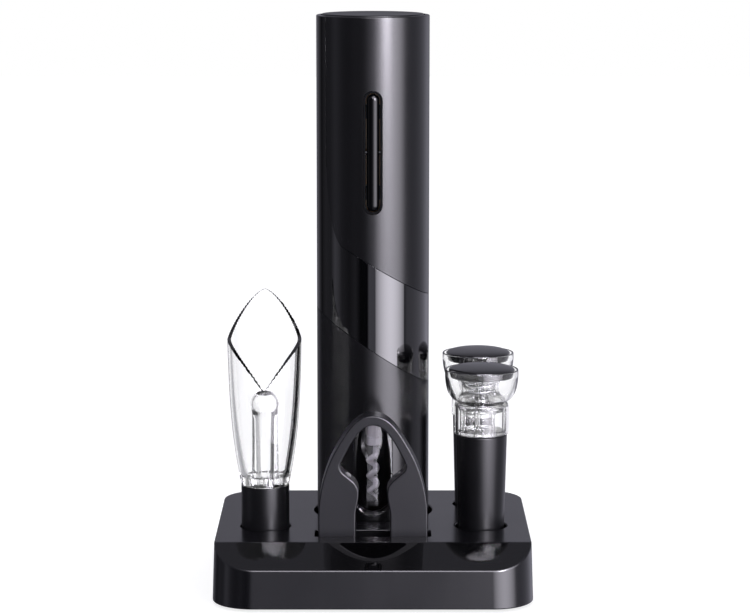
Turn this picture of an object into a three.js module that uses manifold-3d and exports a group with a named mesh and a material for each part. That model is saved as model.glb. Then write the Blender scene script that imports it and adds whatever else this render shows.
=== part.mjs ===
// Electric wine opener set: a stand that holds the cordless opener, a foil cutter,
// an aerating pourer and two vacuum stoppers. Millimetres, +Z up, +Y to the rear.
import * as THREE from 'three';
import { mergeVertices } from 'three/addons/utils/BufferGeometryUtils.js';
import Module from 'manifold-3d';

const wasm = await Module();
wasm.setup();

// ---------------------------------------------------------------- shared sizes
const seatGap = 0.3; // between two pieces that touch
const cutOver = 1; // how far a cutting shape runs past the face it opens
const joinDepth = 0.1; // how far a joined shape reaches into the one that carries it
const arcSteps = 4; // half the steps of a drawn arc

/** How many sides a turned piece of a radius gets. */
const sidesOf = (radius) => 4 * Math.round(0.5 + 1.5 * Math.sqrt(radius));

// ---------------------------------------------------------------- stand
const stand = {
  width: 131, depth: 114, corner: 17, draft: 0.8,
  shellBottom: 1, deckTop: 25.5, wall: 2.2, deckWall: 2.4,
  slopeLength: 15.4, slopeAngle: THREE.MathUtils.degToRad(28.2),
  cupWall: 1.8, cupDepth: 16.5, cupFloor: 2,
  plateBottom: 1.2, plateWall: 2.4,
};
const foot = { radius: 5, height: 2.2, chamfer: 0.4, insetX: 21.5, insetY: 17, recess: 1.3 };
const standScrew = {
  insetX: 9.5, insetY: 11, shankRadius: 1.1, shankLength: 9, headRadius: 2.6, headHeight: 1.2, chamfer: 0.2,
  hole: 1.4, bossRadius: 3.2, counterbore: 1.5, driveRadius: 1, driveDepth: 0.7, driveSides: 6,
};

// ---------------------------------------------------------------- opener body
const opener = { fromRear: 37, radius: 24, cover: 1.8, lip: 0.5, height: 229.7, clearance: 1.5 };
const cap = { radius: 21.6, proud: 0.5, height: 3, chamfer: 0.4 };
const band = {
  upperHeight: 109.5, upperFall: 0.6, lowerHeight: 73.2, lowerFall: 0.67,
  panelTurn: THREE.MathUtils.degToRad(-55), cornerX: -13.2, cornerRise: 33, cornerBow: 1, cornerLift: 6,
};
const windowSlot = { width: 16.6, bottom: 2, top: 44, thickness: 1.4 };
const guide = {
  neckRadius: 15.6, neckDepth: 18.2, boreRadius: 13, sleeveWall: 1.3, lead: 1.5, flange: 2.5, top: 50.5,
};
const chassis = { wall: 1.5, bulkhead: 2.5, bossRadius: 3 };
const slot = { width: 8.2, length: 52, centre: 157, bezelWall: 0.65, bezelDepth: 1, bezelRecess: 0.8 };
const rocker = {
  width: 5.6, length: 49, depth: 3, bevel: 0.9, pinRadius: 0.8, pinReach: 3.45, pinSlack: 0.3, pinSunk: 0.7,
};
const board = {
  width: 13, height: 62, thickness: 1.6, front: -16.6, postRadius: 1.4, postX: 4.6, postInset: 4,
};
const tactile = { side: 6, reach: 17, body: 2.4, plungerRadius: 1.7, plunger: 1.2 };
const cell = { radius: 9.2, length: 65, y: 9, tipRadius: 3.2, tip: 1.2, chamfer: 0.4 };
const port = { width: 8.9, height: 3.2, depth: 7, wall: 0.5, corner: 1.5, headRoomShare: 0.45 };
const chassisScrew = {
  shankRadius: 1.1, shankLength: 17, headRadius: 2.4, headHeight: 1.5, seat: 8, x: 14.6, fromCellEnd: 9,
};

// ---------------------------------------------------------------- drive train
const gear = {
  module: 0.75, sunTeeth: 12, planetTeeth: 15, planets: 3, width: 8,
  addendum: 0.8, dedendum: 1.15, flankShare: 0.32, tipShare: 0.13,
};
const gearbox = { plate: 2.5, bossRadius: 3, bossHole: 3.4 };
const motor = { radius: 14, length: 38, shaftRadius: 1.1, chamfer: 1, rearBossRadius: 4, rearBoss: 2 };
const carrier = { radius: 13, disc: 2.2, pinRadius: 1.2, pinSlack: 0.25, shaftRadius: 2.8 };
const bush = { radius: 5, flangeRadius: 7, flange: 1.2, clearance: 0.3 };
const chuck = { radius: 3.1, top: 41, bottom: 28.4, chamfer: 0.6 };
const worm = { coilRadius: 1.75, wireRadius: 1.2, bottom: 2.7, turns: 3.2, sides: 6, stepsPerTurn: 10 };

// ---------------------------------------------------------------- foil cutter
const cutter = {
  fromCrease: 15.3, thickness: 11.4, footWidth: 45.4, legGap: 14.4, neckGap: 11.8, openingWidth: 27.2,
  height: 50.9, openingTop: 46.9, openingWideZ: 30.5, neckZ: 18.5, sunk: 8.2,
  pocketSlackX: 1.5, pocketSlackY: 0.3, edge: 0.5, outsideSteps: 7, insideSteps: 6,
};
const cutterBow = { // how the drawn curves of the cutter swell and turn in
  shoulderInset: 7.4, shoulderRise: 6.1, footStraight: 8, sideRise: 1.5, sideSwell: 3.7,
  crownSwell: 4.8, crownDrop: 5.6, apexReach: 6.5,
  openingReach: 5.5, openingSwell: 4.1, openingRise: 8.5,
  throatSwell: 1.2, throatDrop: 5, neckSwell: 0.3, neckRise: 6.5, neckDrop: 4.5, legRise: 3.6, legTop: 8.4,
};
const wheel = {
  radius: 1.9, proud: 0.8, thickness: 0.5, slotSlack: 0.25, axleRadius: 0.5, axleLength: 5, hubRadius: 0.9,
};

// ---------------------------------------------------------------- pourer
const pourer = {
  fromSide: 20.1, y: -11.2, radius: 10.1, clearance: 0.6,
  collarTop: 17.7, collarWall: 1.5, collarSunk: 4, chamfer: 0.3,
};
const tulip = {
  belly: 15.75, bellyZ: 79, wall: 1.2, frontLow: 56, backHigh: 101,
  neckLength: 5, neckWall: 2, floorFillet: 1,
  flareOut: 3.2, flareRise: 17, bellyTurn: 0.2, bellyDrop: 32, flareSteps: 6, rimSteps: 12,
};
const airTube = {
  radius: 5.7, wideBore: 4.25, narrowBore: 3.1, head: 6.1, headZ: 52, wall: 1, mouth: 3.1,
  shoulder: 2, headOver: 0.2, outerSteps: 5, innerSteps: 4,
};
const seal = {
  radius: 9.2, bore: 4.4, top: 11, lead: 0.8, step: 0.4,
  rib: 0.6, ribs: 3, ribPitch: 3.4, ribHalf: 0.8, firstRib: 1.4,
};

// ---------------------------------------------------------------- stoppers
const stopper = { fromSide: 19.9, frontY: -11.2, fromRear: 26.2, clearance: 1 };
const plug = { topRadius: 10.8, deckRadius: 9.8, top: 39.6, bore: 4.5, chamfer: 0.8, topChamfer: 0.3 };
const bowl = {
  neckRadius: 11.3, neckWall: 1.3, neckTop: 52.8, waistRadius: 9.1, rimRadius: 15.4, rimZ: 64.5, rimTop: 67.1,
  wall: 0.8, floor: 2.4, floorBelow: 0.6, rodHole: 3.1,
  chamfer: 0.3, neckFillet: 0.8, neckEdge: 1, dishFillet: 2,
};
const bowlBow = { waistLift: 0.3, lowInset: 1.4, highInset: 0.3, highLift: 6, steps: 4, wallStart: 0.4 };
const valve = { thickness: 1.4, nubRadius: 3, nub: 1, chamfer: 0.3 };
const pumpCap = {
  radius: 13.9, taper: 0.7, side: 3.4, dome: 1.2, bossRadius: 4.2, boss: 1.6, chamfer: 0.4,
  domeShares: [[0.7, 0.6], [0.35, 0.92]], // share of the radius, share of the dome
};
const piston = { rodRadius: 2.6, cup: 2.2, cupGap: 0.5, cupChamfer: 0.4, rodChamfer: 0.3 };
const spring = { radius: 5.6, wireRadius: 0.45, turns: 3, sides: 5, stepsPerTurn: 8 };

// ---------------------------------------------------------------- finishes
const finish = (color, roughness, metalness) =>
  new THREE.MeshStandardMaterial({ color, roughness, metalness });
const finishes = {
  standPlastic: finish(0x17181b, 0.25, 0),
  satinBlack: finish(0x2a2b2f, 0.42, 0.4),
  glossBlack: finish(0x0c0c0f, 0.06, 0.3),
  blackPlastic: finish(0x141416, 0.5, 0),
  matteGrey: finish(0x3e3e44, 0.6, 0),
  smoked: finish(0x151518, 0.08, 0),
  clear: finish(0xe8eef0, 0.05, 0),
  rubber: finish(0x1b1b1d, 0.75, 0),
  steel: finish(0xb8babf, 0.28, 1),
  zinc: finish(0x8d9095, 0.4, 1),
  brass: finish(0xb08d4c, 0.35, 1),
  nylon: finish(0xd9d6c8, 0.5, 0),
  circuit: finish(0x1f5a36, 0.5, 0),
  cellWrap: finish(0x3a6ea5, 0.4, 0),
};

// ---------------------------------------------------------------- solids
const solidFrom = (geometry) => {
  const bare = geometry.clone();
  bare.deleteAttribute('normal');
  bare.deleteAttribute('uv');
  const merged = mergeVertices(bare, 1e-4);
  const vertProperties = new Float32Array(merged.attributes.position.array);
  const triVerts = new Uint32Array(merged.index.array);
  return new wasm.Manifold(new wasm.Mesh({ numProp: 3, vertProperties, triVerts }));
};

const geometryFrom = (solid) => {
  const { vertProperties, triVerts } = solid.getMesh();
  const geometry = new THREE.BufferGeometry();
  geometry.setAttribute('position', new THREE.BufferAttribute(new Float32Array(vertProperties), 3));
  geometry.setIndex(new THREE.BufferAttribute(new Uint32Array(triVerts), 1));
  return geometry;
};

const united = (solids) => solids.reduce((sum, solid) => sum.add(solid));
const cutBy = (solid, cutters) => cutters.reduce((rest, tool) => rest.subtract(tool), solid);

/** A turned solid from [radius, z] points, closed on the axis or on itself. */
const turned = (points, sides = sidesOf(Math.max(...points.map(([r]) => r)))) => {
  const profile = points.map(([r, z]) => new THREE.Vector2(r, z));
  const closed = points[0][0] === 0 && points.at(-1)[0] === 0 ? profile : [...profile, profile[0].clone()];
  return solidFrom(new THREE.LatheGeometry(closed, sides).rotateX(Math.PI / 2));
};

/** A disc or cylinder along Z with optional chamfers. */
const disc = (radius, bottom, top, chamfer = 0, sides = sidesOf(radius)) => turned([
  [0, bottom], [radius - chamfer, bottom], [radius, bottom + chamfer],
  [radius, top - chamfer], [radius - chamfer, top], [0, top],
].filter(([r, z], i, all) => i === 0 || r !== all[i - 1][0] || z !== all[i - 1][1]), sides);

/** A plain ring along Z. */
const ring = (outer, inner, bottom, top) =>
  turned([[inner, bottom], [outer, bottom], [outer, top], [inner, top]]);

/** A cylinder along Y from the front face to the rear face. */
const pinAlongY = (radius, front, rear, sides = sidesOf(radius)) => solidFrom(
  new THREE.CylinderGeometry(radius, radius, rear - front, sides).translate(0, (front + rear) / 2, 0),
);

/** A cylinder along X, centred. */
const pinAlongX = (radius, length) =>
  solidFrom(new THREE.CylinderGeometry(radius, radius, length, sidesOf(radius)).rotateZ(Math.PI / 2));

const block = (width, depth, height) => solidFrom(new THREE.BoxGeometry(width, depth, height));

/** A shape drawn in X and Y, raised along Z. */
const raised = (shape, bottom, top) => solidFrom(
  new THREE.ExtrudeGeometry(shape, { depth: top - bottom, bevelEnabled: false }).translate(0, 0, bottom),
);

/** A shape drawn in X and Z, swept along Y from the front face to the rear face. */
const sweptAlongY = (shape, front, rear, bevel = 0) => solidFrom(
  new THREE.ExtrudeGeometry(shape, {
    depth: rear - front - 2 * bevel, curveSegments: arcSteps,
    bevelEnabled: bevel > 0, bevelThickness: bevel, bevelSize: bevel, bevelOffset: -bevel, bevelSegments: 1,
  }).rotateX(Math.PI / 2).translate(0, rear - bevel, 0),
);

const roundedRectangle = (width, depth, radius) => {
  const [x, y] = [width / 2, depth / 2];
  const shape = new THREE.Shape();
  shape.moveTo(x - radius, -y);
  shape.absarc(x - radius, -y + radius, radius, -Math.PI / 2, 0);
  shape.absarc(x - radius, y - radius, radius, 0, Math.PI / 2);
  shape.absarc(-x + radius, y - radius, radius, Math.PI / 2, Math.PI);
  shape.absarc(-x + radius, -y + radius, radius, Math.PI, 1.5 * Math.PI);
  return shape;
};

const pill = (width, length) => {
  const [radius, straight] = [width / 2, (length - width) / 2];
  const shape = new THREE.Shape();
  shape.moveTo(radius, -straight);
  shape.absarc(0, straight, radius, 0, Math.PI);
  shape.absarc(0, -straight, radius, Math.PI, 2 * Math.PI);
  return shape;
};

// ---------------------------------------------------------------- places in the stand
const places = {
  opener: [0, stand.depth / 2 - opener.fromRear],
  cutter: [0, stand.slopeLength - stand.depth / 2 + cutter.fromCrease],
  pourer: [pourer.fromSide - stand.width / 2, pourer.y],
  stopperFront: [stand.width / 2 - stopper.fromSide, stopper.frontY],
  stopperRear: [stand.width / 2 - stopper.fromSide, stand.depth / 2 - stopper.fromRear],
};

// ---------------------------------------------------------------- scene graph
const set = new THREE.Group();
const groups = {
  stand: set,
  opener: new THREE.Group(),
  cutter: new THREE.Group(),
  pourer: new THREE.Group(),
};
groups.opener.position.set(...places.opener, 0);
groups.cutter.position.set(...places.cutter, 0);
groups.pourer.position.set(...places.pourer, 0);
set.add(groups.opener, groups.cutter, groups.pourer);

const addPiece = (parent, name, solid, material, place = [0, 0, 0]) => {
  const mesh = new THREE.Mesh(geometryFrom(solid), material);
  mesh.name = name;
  mesh.position.set(...place);
  parent.add(mesh);
};

const deck = stand.deckTop;
const cupFloorTop = deck - stand.cupDepth;
const restZ = cupFloorTop + seatGap; // underside of whatever stands in a cup
const openerTop = restZ + opener.height;

// ---------------------------------------------------------------- stand pieces
const corners = [
  ['front_left', -1, -1], ['front_right', 1, -1], ['rear_left', -1, 1], ['rear_right', 1, 1],
];
const cups = [
  [places.opener, opener.radius + opener.clearance],
  [places.pourer, pourer.radius + pourer.clearance],
  [places.stopperFront, plug.deckRadius + stopper.clearance],
  [places.stopperRear, plug.deckRadius + stopper.clearance],
].map(([[x, y], radius]) => ({ x, y, radius }));
const pocket = {
  width: cutter.footWidth + 2 * cutter.pocketSlackX,
  depth: cutter.thickness + 2 * cutter.pocketSlackY,
  floor: deck - cutter.sunk - seatGap,
};

/** The stand's drafted block with its front edge sloped down, moved inwards by an inset. */
const standBlock = (inset, bottom, top) => {
  const height = top - bottom;
  const shape = roundedRectangle(stand.width - 2 * inset, stand.depth - 2 * inset, stand.corner - inset);
  const raise = { depth: height, bevelEnabled: false, curveSegments: arcSteps };
  const geometry = new THREE.ExtrudeGeometry(shape, raise);
  const position = geometry.attributes.position;
  const shellHeight = deck - stand.shellBottom;
  const spread = (half, z) => 1 + (stand.draft * (1 - (z + bottom - stand.shellBottom) / shellHeight)) / half;
  for (let i = 0; i < position.count; i += 1) {
    const z = position.getZ(i);
    position.setX(i, position.getX(i) * spread(stand.width / 2, z));
    position.setY(i, position.getY(i) * spread(stand.depth / 2, z));
  }
  geometry.translate(0, 0, bottom);
  const reach = 2 * stand.depth;
  const slope = new THREE.BoxGeometry(reach, reach, reach).translate(0, -reach / 2, reach / 2);
  slope.rotateX(stand.slopeAngle);
  slope.translate(0, stand.slopeLength - stand.depth / 2, deck - inset / Math.cos(stand.slopeAngle));
  return solidFrom(geometry).subtract(solidFrom(slope));
};

const standSolid = standBlock(0, stand.shellBottom, deck);
const standHollow = standBlock(stand.wall, stand.shellBottom - cutOver, deck - stand.deckWall);

const screwPlaces = corners.map(([name, sx, sy]) => [
  name, sx * (stand.width / 2 - standScrew.insetX), sy * (stand.depth / 2 - standScrew.insetY),
]);
const footPlaces = corners.map(([name, sx, sy]) => [
  name, sx * (stand.width / 2 - foot.insetX), sy * (stand.depth / 2 - foot.insetY),
]);
const basePlateTop = stand.plateBottom + stand.plateWall;

const buildStand = () => {
  const cupWalls = cups.map(({ x, y, radius }) =>
    disc(radius + stand.cupWall, cupFloorTop - stand.cupFloor, deck).translate([x, y, 0]));
  const pocketWall = block(
    pocket.width + 2 * stand.cupWall, pocket.depth + 2 * stand.cupWall, deck - pocket.floor + stand.cupFloor,
  ).translate([...places.cutter, (deck + pocket.floor - stand.cupFloor) / 2]);
  const bosses = screwPlaces.map(([, x, y]) =>
    disc(standScrew.bossRadius, basePlateTop + seatGap, deck).translate([x, y, 0]));
  const inside = united([...cupWalls, pocketWall, ...bosses]).intersect(standSolid);
  const cupBores = cups.map(({ x, y, radius }) =>
    disc(radius, cupFloorTop, deck + cutOver).translate([x, y, 0]));
  const pocketBore = block(pocket.width, pocket.depth, deck - pocket.floor + cutOver)
    .translate([...places.cutter, (deck + pocket.floor + cutOver) / 2]);
  const screwBore = disc(standScrew.hole, basePlateTop - cutOver, basePlateTop + standScrew.shankLength);
  const screwBores = screwPlaces.map(([, x, y]) => screwBore.translate([x, y, 0]));
  const shell = cutBy(
    standSolid.subtract(standHollow).add(inside),
    [...cupBores, pocketBore, ...screwBores],
  );
  addPiece(groups.stand, 'stand_shell', shell, finishes.standPlastic);

  const plateInset = stand.wall + seatGap;
  const plate = standBlock(plateInset, stand.plateBottom, basePlateTop);
  const headTop = stand.plateBottom + standScrew.counterbore;
  const recessTop = stand.plateBottom + foot.recess;
  const footRecess = disc(foot.radius + seatGap, stand.plateBottom - cutOver, recessTop);
  const plateCuts = [
    ...screwPlaces.flatMap(([, x, y]) => [
      disc(standScrew.hole, stand.plateBottom - cutOver, basePlateTop + cutOver).translate([x, y, 0]),
      disc(standScrew.headRadius + seatGap, stand.plateBottom - cutOver, headTop).translate([x, y, 0]),
    ]),
    ...footPlaces.map(([, x, y]) => footRecess.translate([x, y, 0])),
  ];
  addPiece(groups.stand, 'stand_bottom_plate', cutBy(plate, plateCuts), finishes.blackPlastic);

  const pad = disc(foot.radius, 0, foot.height, foot.chamfer);
  footPlaces.forEach(([corner, x, y]) => {
    addPiece(groups.stand, `foot_${corner}`, pad, finishes.rubber, [x, y, 0]);
  });

  const headSeat = headTop - seatGap / 2;
  const headFace = headSeat - standScrew.headHeight;
  const screw = disc(standScrew.headRadius, headFace, headSeat, standScrew.chamfer)
    .add(disc(standScrew.shankRadius, headSeat - joinDepth, headSeat + standScrew.shankLength))
    .subtract(disc(
      standScrew.driveRadius, headFace - cutOver, headFace + standScrew.driveDepth, 0, standScrew.driveSides,
    ));
  screwPlaces.forEach(([corner, x, y]) => {
    addPiece(groups.stand, `stand_screw_${corner}`, screw, finishes.zinc, [x, y, 0]);
  });
};

// ---------------------------------------------------------------- the opener's stack
const guideTop = deck + guide.top;
const chassisBottom = guideTop + seatGap;
const chassisTop = openerTop + cap.proud - cap.height - seatGap;
const bulkheadTop = chassisBottom + chassis.bulkhead;
const carrierBottom = bulkheadTop + bush.flange + seatGap;
const gearBottom = carrierBottom + carrier.disc + seatGap;
const gearTop = gearBottom + gear.width;
const motorPlateBottom = gearTop + seatGap;
const motorBottom = motorPlateBottom + gearbox.plate + seatGap;
const motorTop = motorBottom + motor.length;
const shelfBottom = motorTop + motor.rearBoss + seatGap;
const cellBottom = shelfBottom + chassis.bulkhead + seatGap;
const cellTop = cellBottom + cell.length + cell.tip;
const lidBottom = cellTop + seatGap;
const lidTop = lidBottom + chassis.bulkhead;
const portZ = lidTop + port.headRoomShare * (chassisTop - lidTop);

// ---------------------------------------------------------------- opener covers
const coverInner = opener.radius - opener.cover;
const chassisOuter = coverInner - seatGap;
const chassisInner = chassisOuter - chassis.wall;
const windowBottom = deck + windowSlot.bottom;
const windowTop = deck + windowSlot.top;
const windowMiddle = (windowBottom + windowTop) / 2;
const slotMiddle = deck + slot.centre;
const rockerY = rocker.pinSunk - chassisOuter;

/** The bar that opens the rear wall for the charging socket. */
const portOpening = () => block(port.width + 2 * seatGap, opener.radius, port.height + 2 * seatGap)
  .translate([0, opener.radius, portZ]);

/** A pill-shaped cutting bar along Y through the front wall of the opener. */
const frontPill = (width, length, middle, front, rear) =>
  sweptAlongY(pill(width, length), front, rear).translate([0, 0, middle]);

/** Everything of the opener that lies below a slanting line seen from the front. */
const belowLine = (height, fall) => {
  const reach = 2 * opener.radius;
  const shape = new THREE.Shape();
  shape.moveTo(-reach, 0);
  shape.lineTo(reach, 0);
  shape.lineTo(reach, deck + height - fall * reach);
  shape.lineTo(-reach, deck + height + fall * reach);
  return sweptAlongY(shape, -reach, reach);
};

/** The region of the satin panel: a half tube turned to the left, ended by the slanting line. */
const panelRegion = (gap) => {
  const reach = 2 * opener.radius;
  const lineAt = (x) => deck + band.upperHeight - band.upperFall * x + gap;
  const edgeX = opener.radius * Math.sin(band.panelTurn);
  const cornerZ = lineAt(band.cornerX);
  const shape = new THREE.Shape();
  shape.moveTo(reach, lineAt(reach));
  shape.lineTo(reach, openerTop + cutOver);
  shape.lineTo(edgeX - reach, openerTop + cutOver);
  shape.lineTo(edgeX - reach, cornerZ + band.cornerRise);
  shape.lineTo(edgeX, cornerZ + band.cornerRise);
  shape.quadraticCurveTo(edgeX + band.cornerBow, cornerZ + band.cornerLift, band.cornerX, cornerZ);
  const half = block(reach, reach, 2 * openerTop).translate([0, -reach / 2 - gap, openerTop]);
  const quarterTurn = 90;
  const turn = THREE.MathUtils.radToDeg(band.panelTurn) + quarterTurn;
  return sweptAlongY(shape, -reach, reach).intersect(half.rotate([0, 0, turn]));
};

const buildCovers = () => {
  const tube = turned([
    [coverInner, restZ], [opener.radius - opener.lip, restZ], [opener.radius, restZ + opener.lip],
    [opener.radius, openerTop - opener.lip], [opener.radius - opener.lip, openerTop], [coverInner, openerTop],
  ]);
  const panel = panelRegion(0);
  const panelClear = panelRegion(-seatGap);
  const slotCut = frontPill(slot.width, slot.length, slotMiddle, -opener.radius - cutOver, 0);
  const windowCut = frontPill(
    windowSlot.width, windowTop - windowBottom, windowMiddle, -opener.radius - cutOver, 0,
  );
  const portCut = portOpening();
  const lowerRegion = belowLine(band.lowerHeight - seatGap, band.lowerFall);
  const lowerClear = belowLine(band.lowerHeight, band.lowerFall);
  const upper = tube.intersect(panel).subtract(slotCut).subtract(portCut);
  const lower = tube.intersect(lowerRegion).subtract(windowCut);
  const sleeve = tube.subtract(panelClear).subtract(lowerClear).subtract(portCut);
  addPiece(groups.opener, 'upper_cover', upper, finishes.satinBlack);
  addPiece(groups.opener, 'gloss_sleeve', sleeve, finishes.glossBlack);
  addPiece(groups.opener, 'lower_cover', lower, finishes.satinBlack);

  const capTop = openerTop + cap.proud;
  const lid = disc(cap.radius, capTop - cap.height, capTop, cap.chamfer);
  addPiece(groups.opener, 'top_cap', lid, finishes.blackPlastic);

  const paneRadius = opener.radius - seatGap;
  const pane = ring(paneRadius, paneRadius - windowSlot.thickness, windowBottom, windowTop)
    .intersect(frontPill(
      windowSlot.width - 2 * seatGap, windowTop - windowBottom - 2 * seatGap, windowMiddle,
      -opener.radius - cutOver, 0,
    ));
  addPiece(groups.opener, 'smoked_window', pane, finishes.smoked);
};

// ---------------------------------------------------------------- opener inside
const buildGuide = () => {
  const shoulder = restZ + guide.neckDepth;
  const sleeveOuter = guide.boreRadius + guide.sleeveWall;
  const body = turned([
    [guide.neckRadius, restZ + guide.lead], [guide.neckRadius + guide.lead, restZ],
    [chassisOuter, restZ], [chassisOuter, shoulder],
    [sleeveOuter, shoulder], [sleeveOuter, guideTop - guide.flange],
    [chassisOuter, guideTop - guide.flange], [chassisOuter, guideTop],
    [guide.boreRadius, guideTop], [guide.boreRadius, shoulder - guide.lead],
    [guide.neckRadius, shoulder - guide.lead],
  ]);
  const view = frontPill(
    windowSlot.width, windowTop - windowBottom, windowMiddle, -chassisOuter - cutOver, 0,
  );
  addPiece(groups.opener, 'bottle_guide', body.subtract(view), finishes.blackPlastic);
};

const buildChassis = () => {
  const wall = ring(chassisOuter, chassisInner, chassisBottom, chassisTop);
  const grip = chassisInner + chassis.wall / 2; // shelves, bosses and posts end inside the wall
  const withinWall = disc(grip, chassisBottom, chassisTop);
  const lowerBulkhead = ring(grip, bush.radius + seatGap, chassisBottom, bulkheadTop);
  const cellShelf = disc(grip, shelfBottom, shelfBottom + chassis.bulkhead);
  const cellLid = disc(grip, lidBottom, lidTop);
  const screwPlacesInChassis = [
    ['lower', -chassisScrew.x, cellBottom + chassisScrew.fromCellEnd],
    ['upper', chassisScrew.x, cellTop - chassisScrew.fromCellEnd],
  ];
  const atScrews = (solid) => screwPlacesInChassis.map(([, x, z]) => solid.translate([x, 0, z]));
  const halfSpace = (side) => block(4 * opener.radius, 2 * opener.radius, 2 * openerTop)
    .translate([0, side * (opener.radius + seatGap / 2), openerTop]);

  const rearBosses = united(atScrews(pinAlongY(chassis.bossRadius, 0, opener.radius)))
    .intersect(withinWall);
  const rearBores = [
    ...atScrews(pinAlongY(chassisScrew.shankRadius + seatGap, -cutOver, opener.radius)),
    ...atScrews(pinAlongY(chassisScrew.headRadius + seatGap, chassisScrew.seat, opener.radius)),
  ];
  const rear = cutBy(
    united([wall, lowerBulkhead, cellShelf, cellLid, rearBosses]).intersect(halfSpace(1)),
    [...rearBores, portOpening()],
  );
  addPiece(groups.opener, 'chassis_rear', rear, finishes.blackPlastic);

  const frontBosses = united(atScrews(pinAlongY(chassis.bossRadius, -opener.radius, 0)))
    .intersect(withinWall);
  const frontBores = atScrews(pinAlongY(
    chassisScrew.shankRadius + seatGap, chassisScrew.seat - chassisScrew.shankLength - seatGap, cutOver,
  ));
  const postLevels = [-1, 1].map((side) => slotMiddle + side * (board.height / 2 - board.postInset));
  const posts = postLevels.flatMap((z) => [-1, 1].map((side) =>
    pinAlongY(board.postRadius, -grip, board.front - seatGap).translate([side * board.postX, 0, z])));
  const rockerCut = frontPill(
    slot.width - 2 * seatGap - 2 * slot.bezelWall, slot.length - 2 * seatGap - 2 * slot.bezelWall,
    slotMiddle, -opener.radius, board.front - cutOver,
  );
  const pinCut = pinAlongX(rocker.pinRadius + rocker.pinSlack, 2 * (rocker.pinReach + rocker.pinSlack))
    .translate([0, rockerY, slotMiddle]);
  const front = cutBy(
    united([wall, lowerBulkhead, frontBosses, ...posts]).intersect(halfSpace(-1)),
    [...frontBores, rockerCut, pinCut],
  );
  addPiece(groups.opener, 'chassis_front', front, finishes.blackPlastic);

  const headFront = chassisScrew.seat + seatGap / 2;
  const headRear = headFront + chassisScrew.headHeight;
  const shankTip = chassisScrew.seat - chassisScrew.shankLength;
  const screw = pinAlongY(chassisScrew.headRadius, headFront, headRear)
    .add(pinAlongY(chassisScrew.shankRadius, shankTip, headFront + joinDepth))
    .subtract(pinAlongY(
      standScrew.driveRadius, headRear - standScrew.driveDepth, headRear + cutOver, standScrew.driveSides,
    ));
  screwPlacesInChassis.forEach(([level, x, z]) => {
    addPiece(groups.opener, `chassis_screw_${level}`, screw, finishes.zinc, [x, 0, z]);
  });
};

const buildControls = () => {
  const bezelWidth = slot.width - 2 * seatGap;
  const bezelLength = slot.length - 2 * seatGap;
  const bezelFront = -opener.radius + slot.bezelRecess;
  const bezel = frontPill(bezelWidth, bezelLength, slotMiddle, bezelFront, bezelFront + slot.bezelDepth)
    .subtract(frontPill(
      bezelWidth - 2 * slot.bezelWall, bezelLength - 2 * slot.bezelWall, slotMiddle,
      -opener.radius - cutOver, 0,
    ));
  addPiece(groups.opener, 'button_bezel', bezel, finishes.glossBlack);

  const rockerShape = pill(rocker.width, rocker.length);
  const face = sweptAlongY(rockerShape, -opener.radius, rocker.depth - opener.radius, rocker.bevel)
    .add(pinAlongX(rocker.pinRadius, 2 * rocker.pinReach).translate([0, rockerY, 0]));
  addPiece(groups.opener, 'rocker_button', face, finishes.glossBlack, [0, 0, slotMiddle]);

  const pcb = block(board.width, board.thickness, board.height);
  const boardMiddle = board.front + board.thickness / 2;
  addPiece(groups.opener, 'switch_board', pcb, finishes.circuit, [0, boardMiddle, slotMiddle]);

  const switchRear = board.front - seatGap / 2;
  const switchFront = switchRear - tactile.body;
  const button = block(tactile.side, tactile.body, tactile.side)
    .translate([0, switchRear - tactile.body / 2, 0])
    .add(pinAlongY(tactile.plungerRadius, switchFront - tactile.plunger, switchFront + joinDepth));
  [['up', 1], ['down', -1]].forEach(([name, side]) => {
    const z = slotMiddle + side * tactile.reach;
    addPiece(groups.opener, `switch_${name}`, button, finishes.blackPlastic, [0, 0, z]);
  });
};

const buildPower = () => {
  const can = disc(cell.radius, cellBottom, cellTop - cell.tip, cell.chamfer)
    .add(disc(cell.tipRadius, cellTop - cell.tip - joinDepth, cellTop));
  addPiece(groups.opener, 'battery_cell', can, finishes.cellWrap, [0, cell.y, 0]);

  const bodyShape = roundedRectangle(port.width, port.height, port.corner);
  const hollowShape = roundedRectangle(
    port.width - 2 * port.wall, port.height - 2 * port.wall, port.corner - port.wall,
  );
  const rearFace = coverInner + opener.cover / 2;
  const shell = sweptAlongY(bodyShape, rearFace - port.depth, rearFace)
    .subtract(sweptAlongY(hollowShape, rearFace - port.depth + 2 * port.wall, rearFace + cutOver));
  addPiece(groups.opener, 'charge_socket', shell, finishes.steel, [0, 0, portZ]);

  const housing = turned([
    [0, motorBottom], [motor.radius - motor.chamfer, motorBottom],
    [motor.radius, motorBottom + motor.chamfer], [motor.radius, motorTop - motor.chamfer],
    [motor.radius - motor.chamfer, motorTop],
    [motor.rearBossRadius, motorTop], [motor.rearBossRadius, motorTop + motor.rearBoss],
    [0, motorTop + motor.rearBoss],
  ]);
  const nose = disc(gearbox.bossRadius, motorBottom - gearbox.plate / 2, motorBottom + joinDepth);
  const shaftBore = disc(motor.shaftRadius + seatGap, motorBottom - gearbox.plate, motorBottom + 2 * cutOver);
  addPiece(groups.opener, 'motor', housing.add(nose).subtract(shaftBore), finishes.steel);
};

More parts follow.
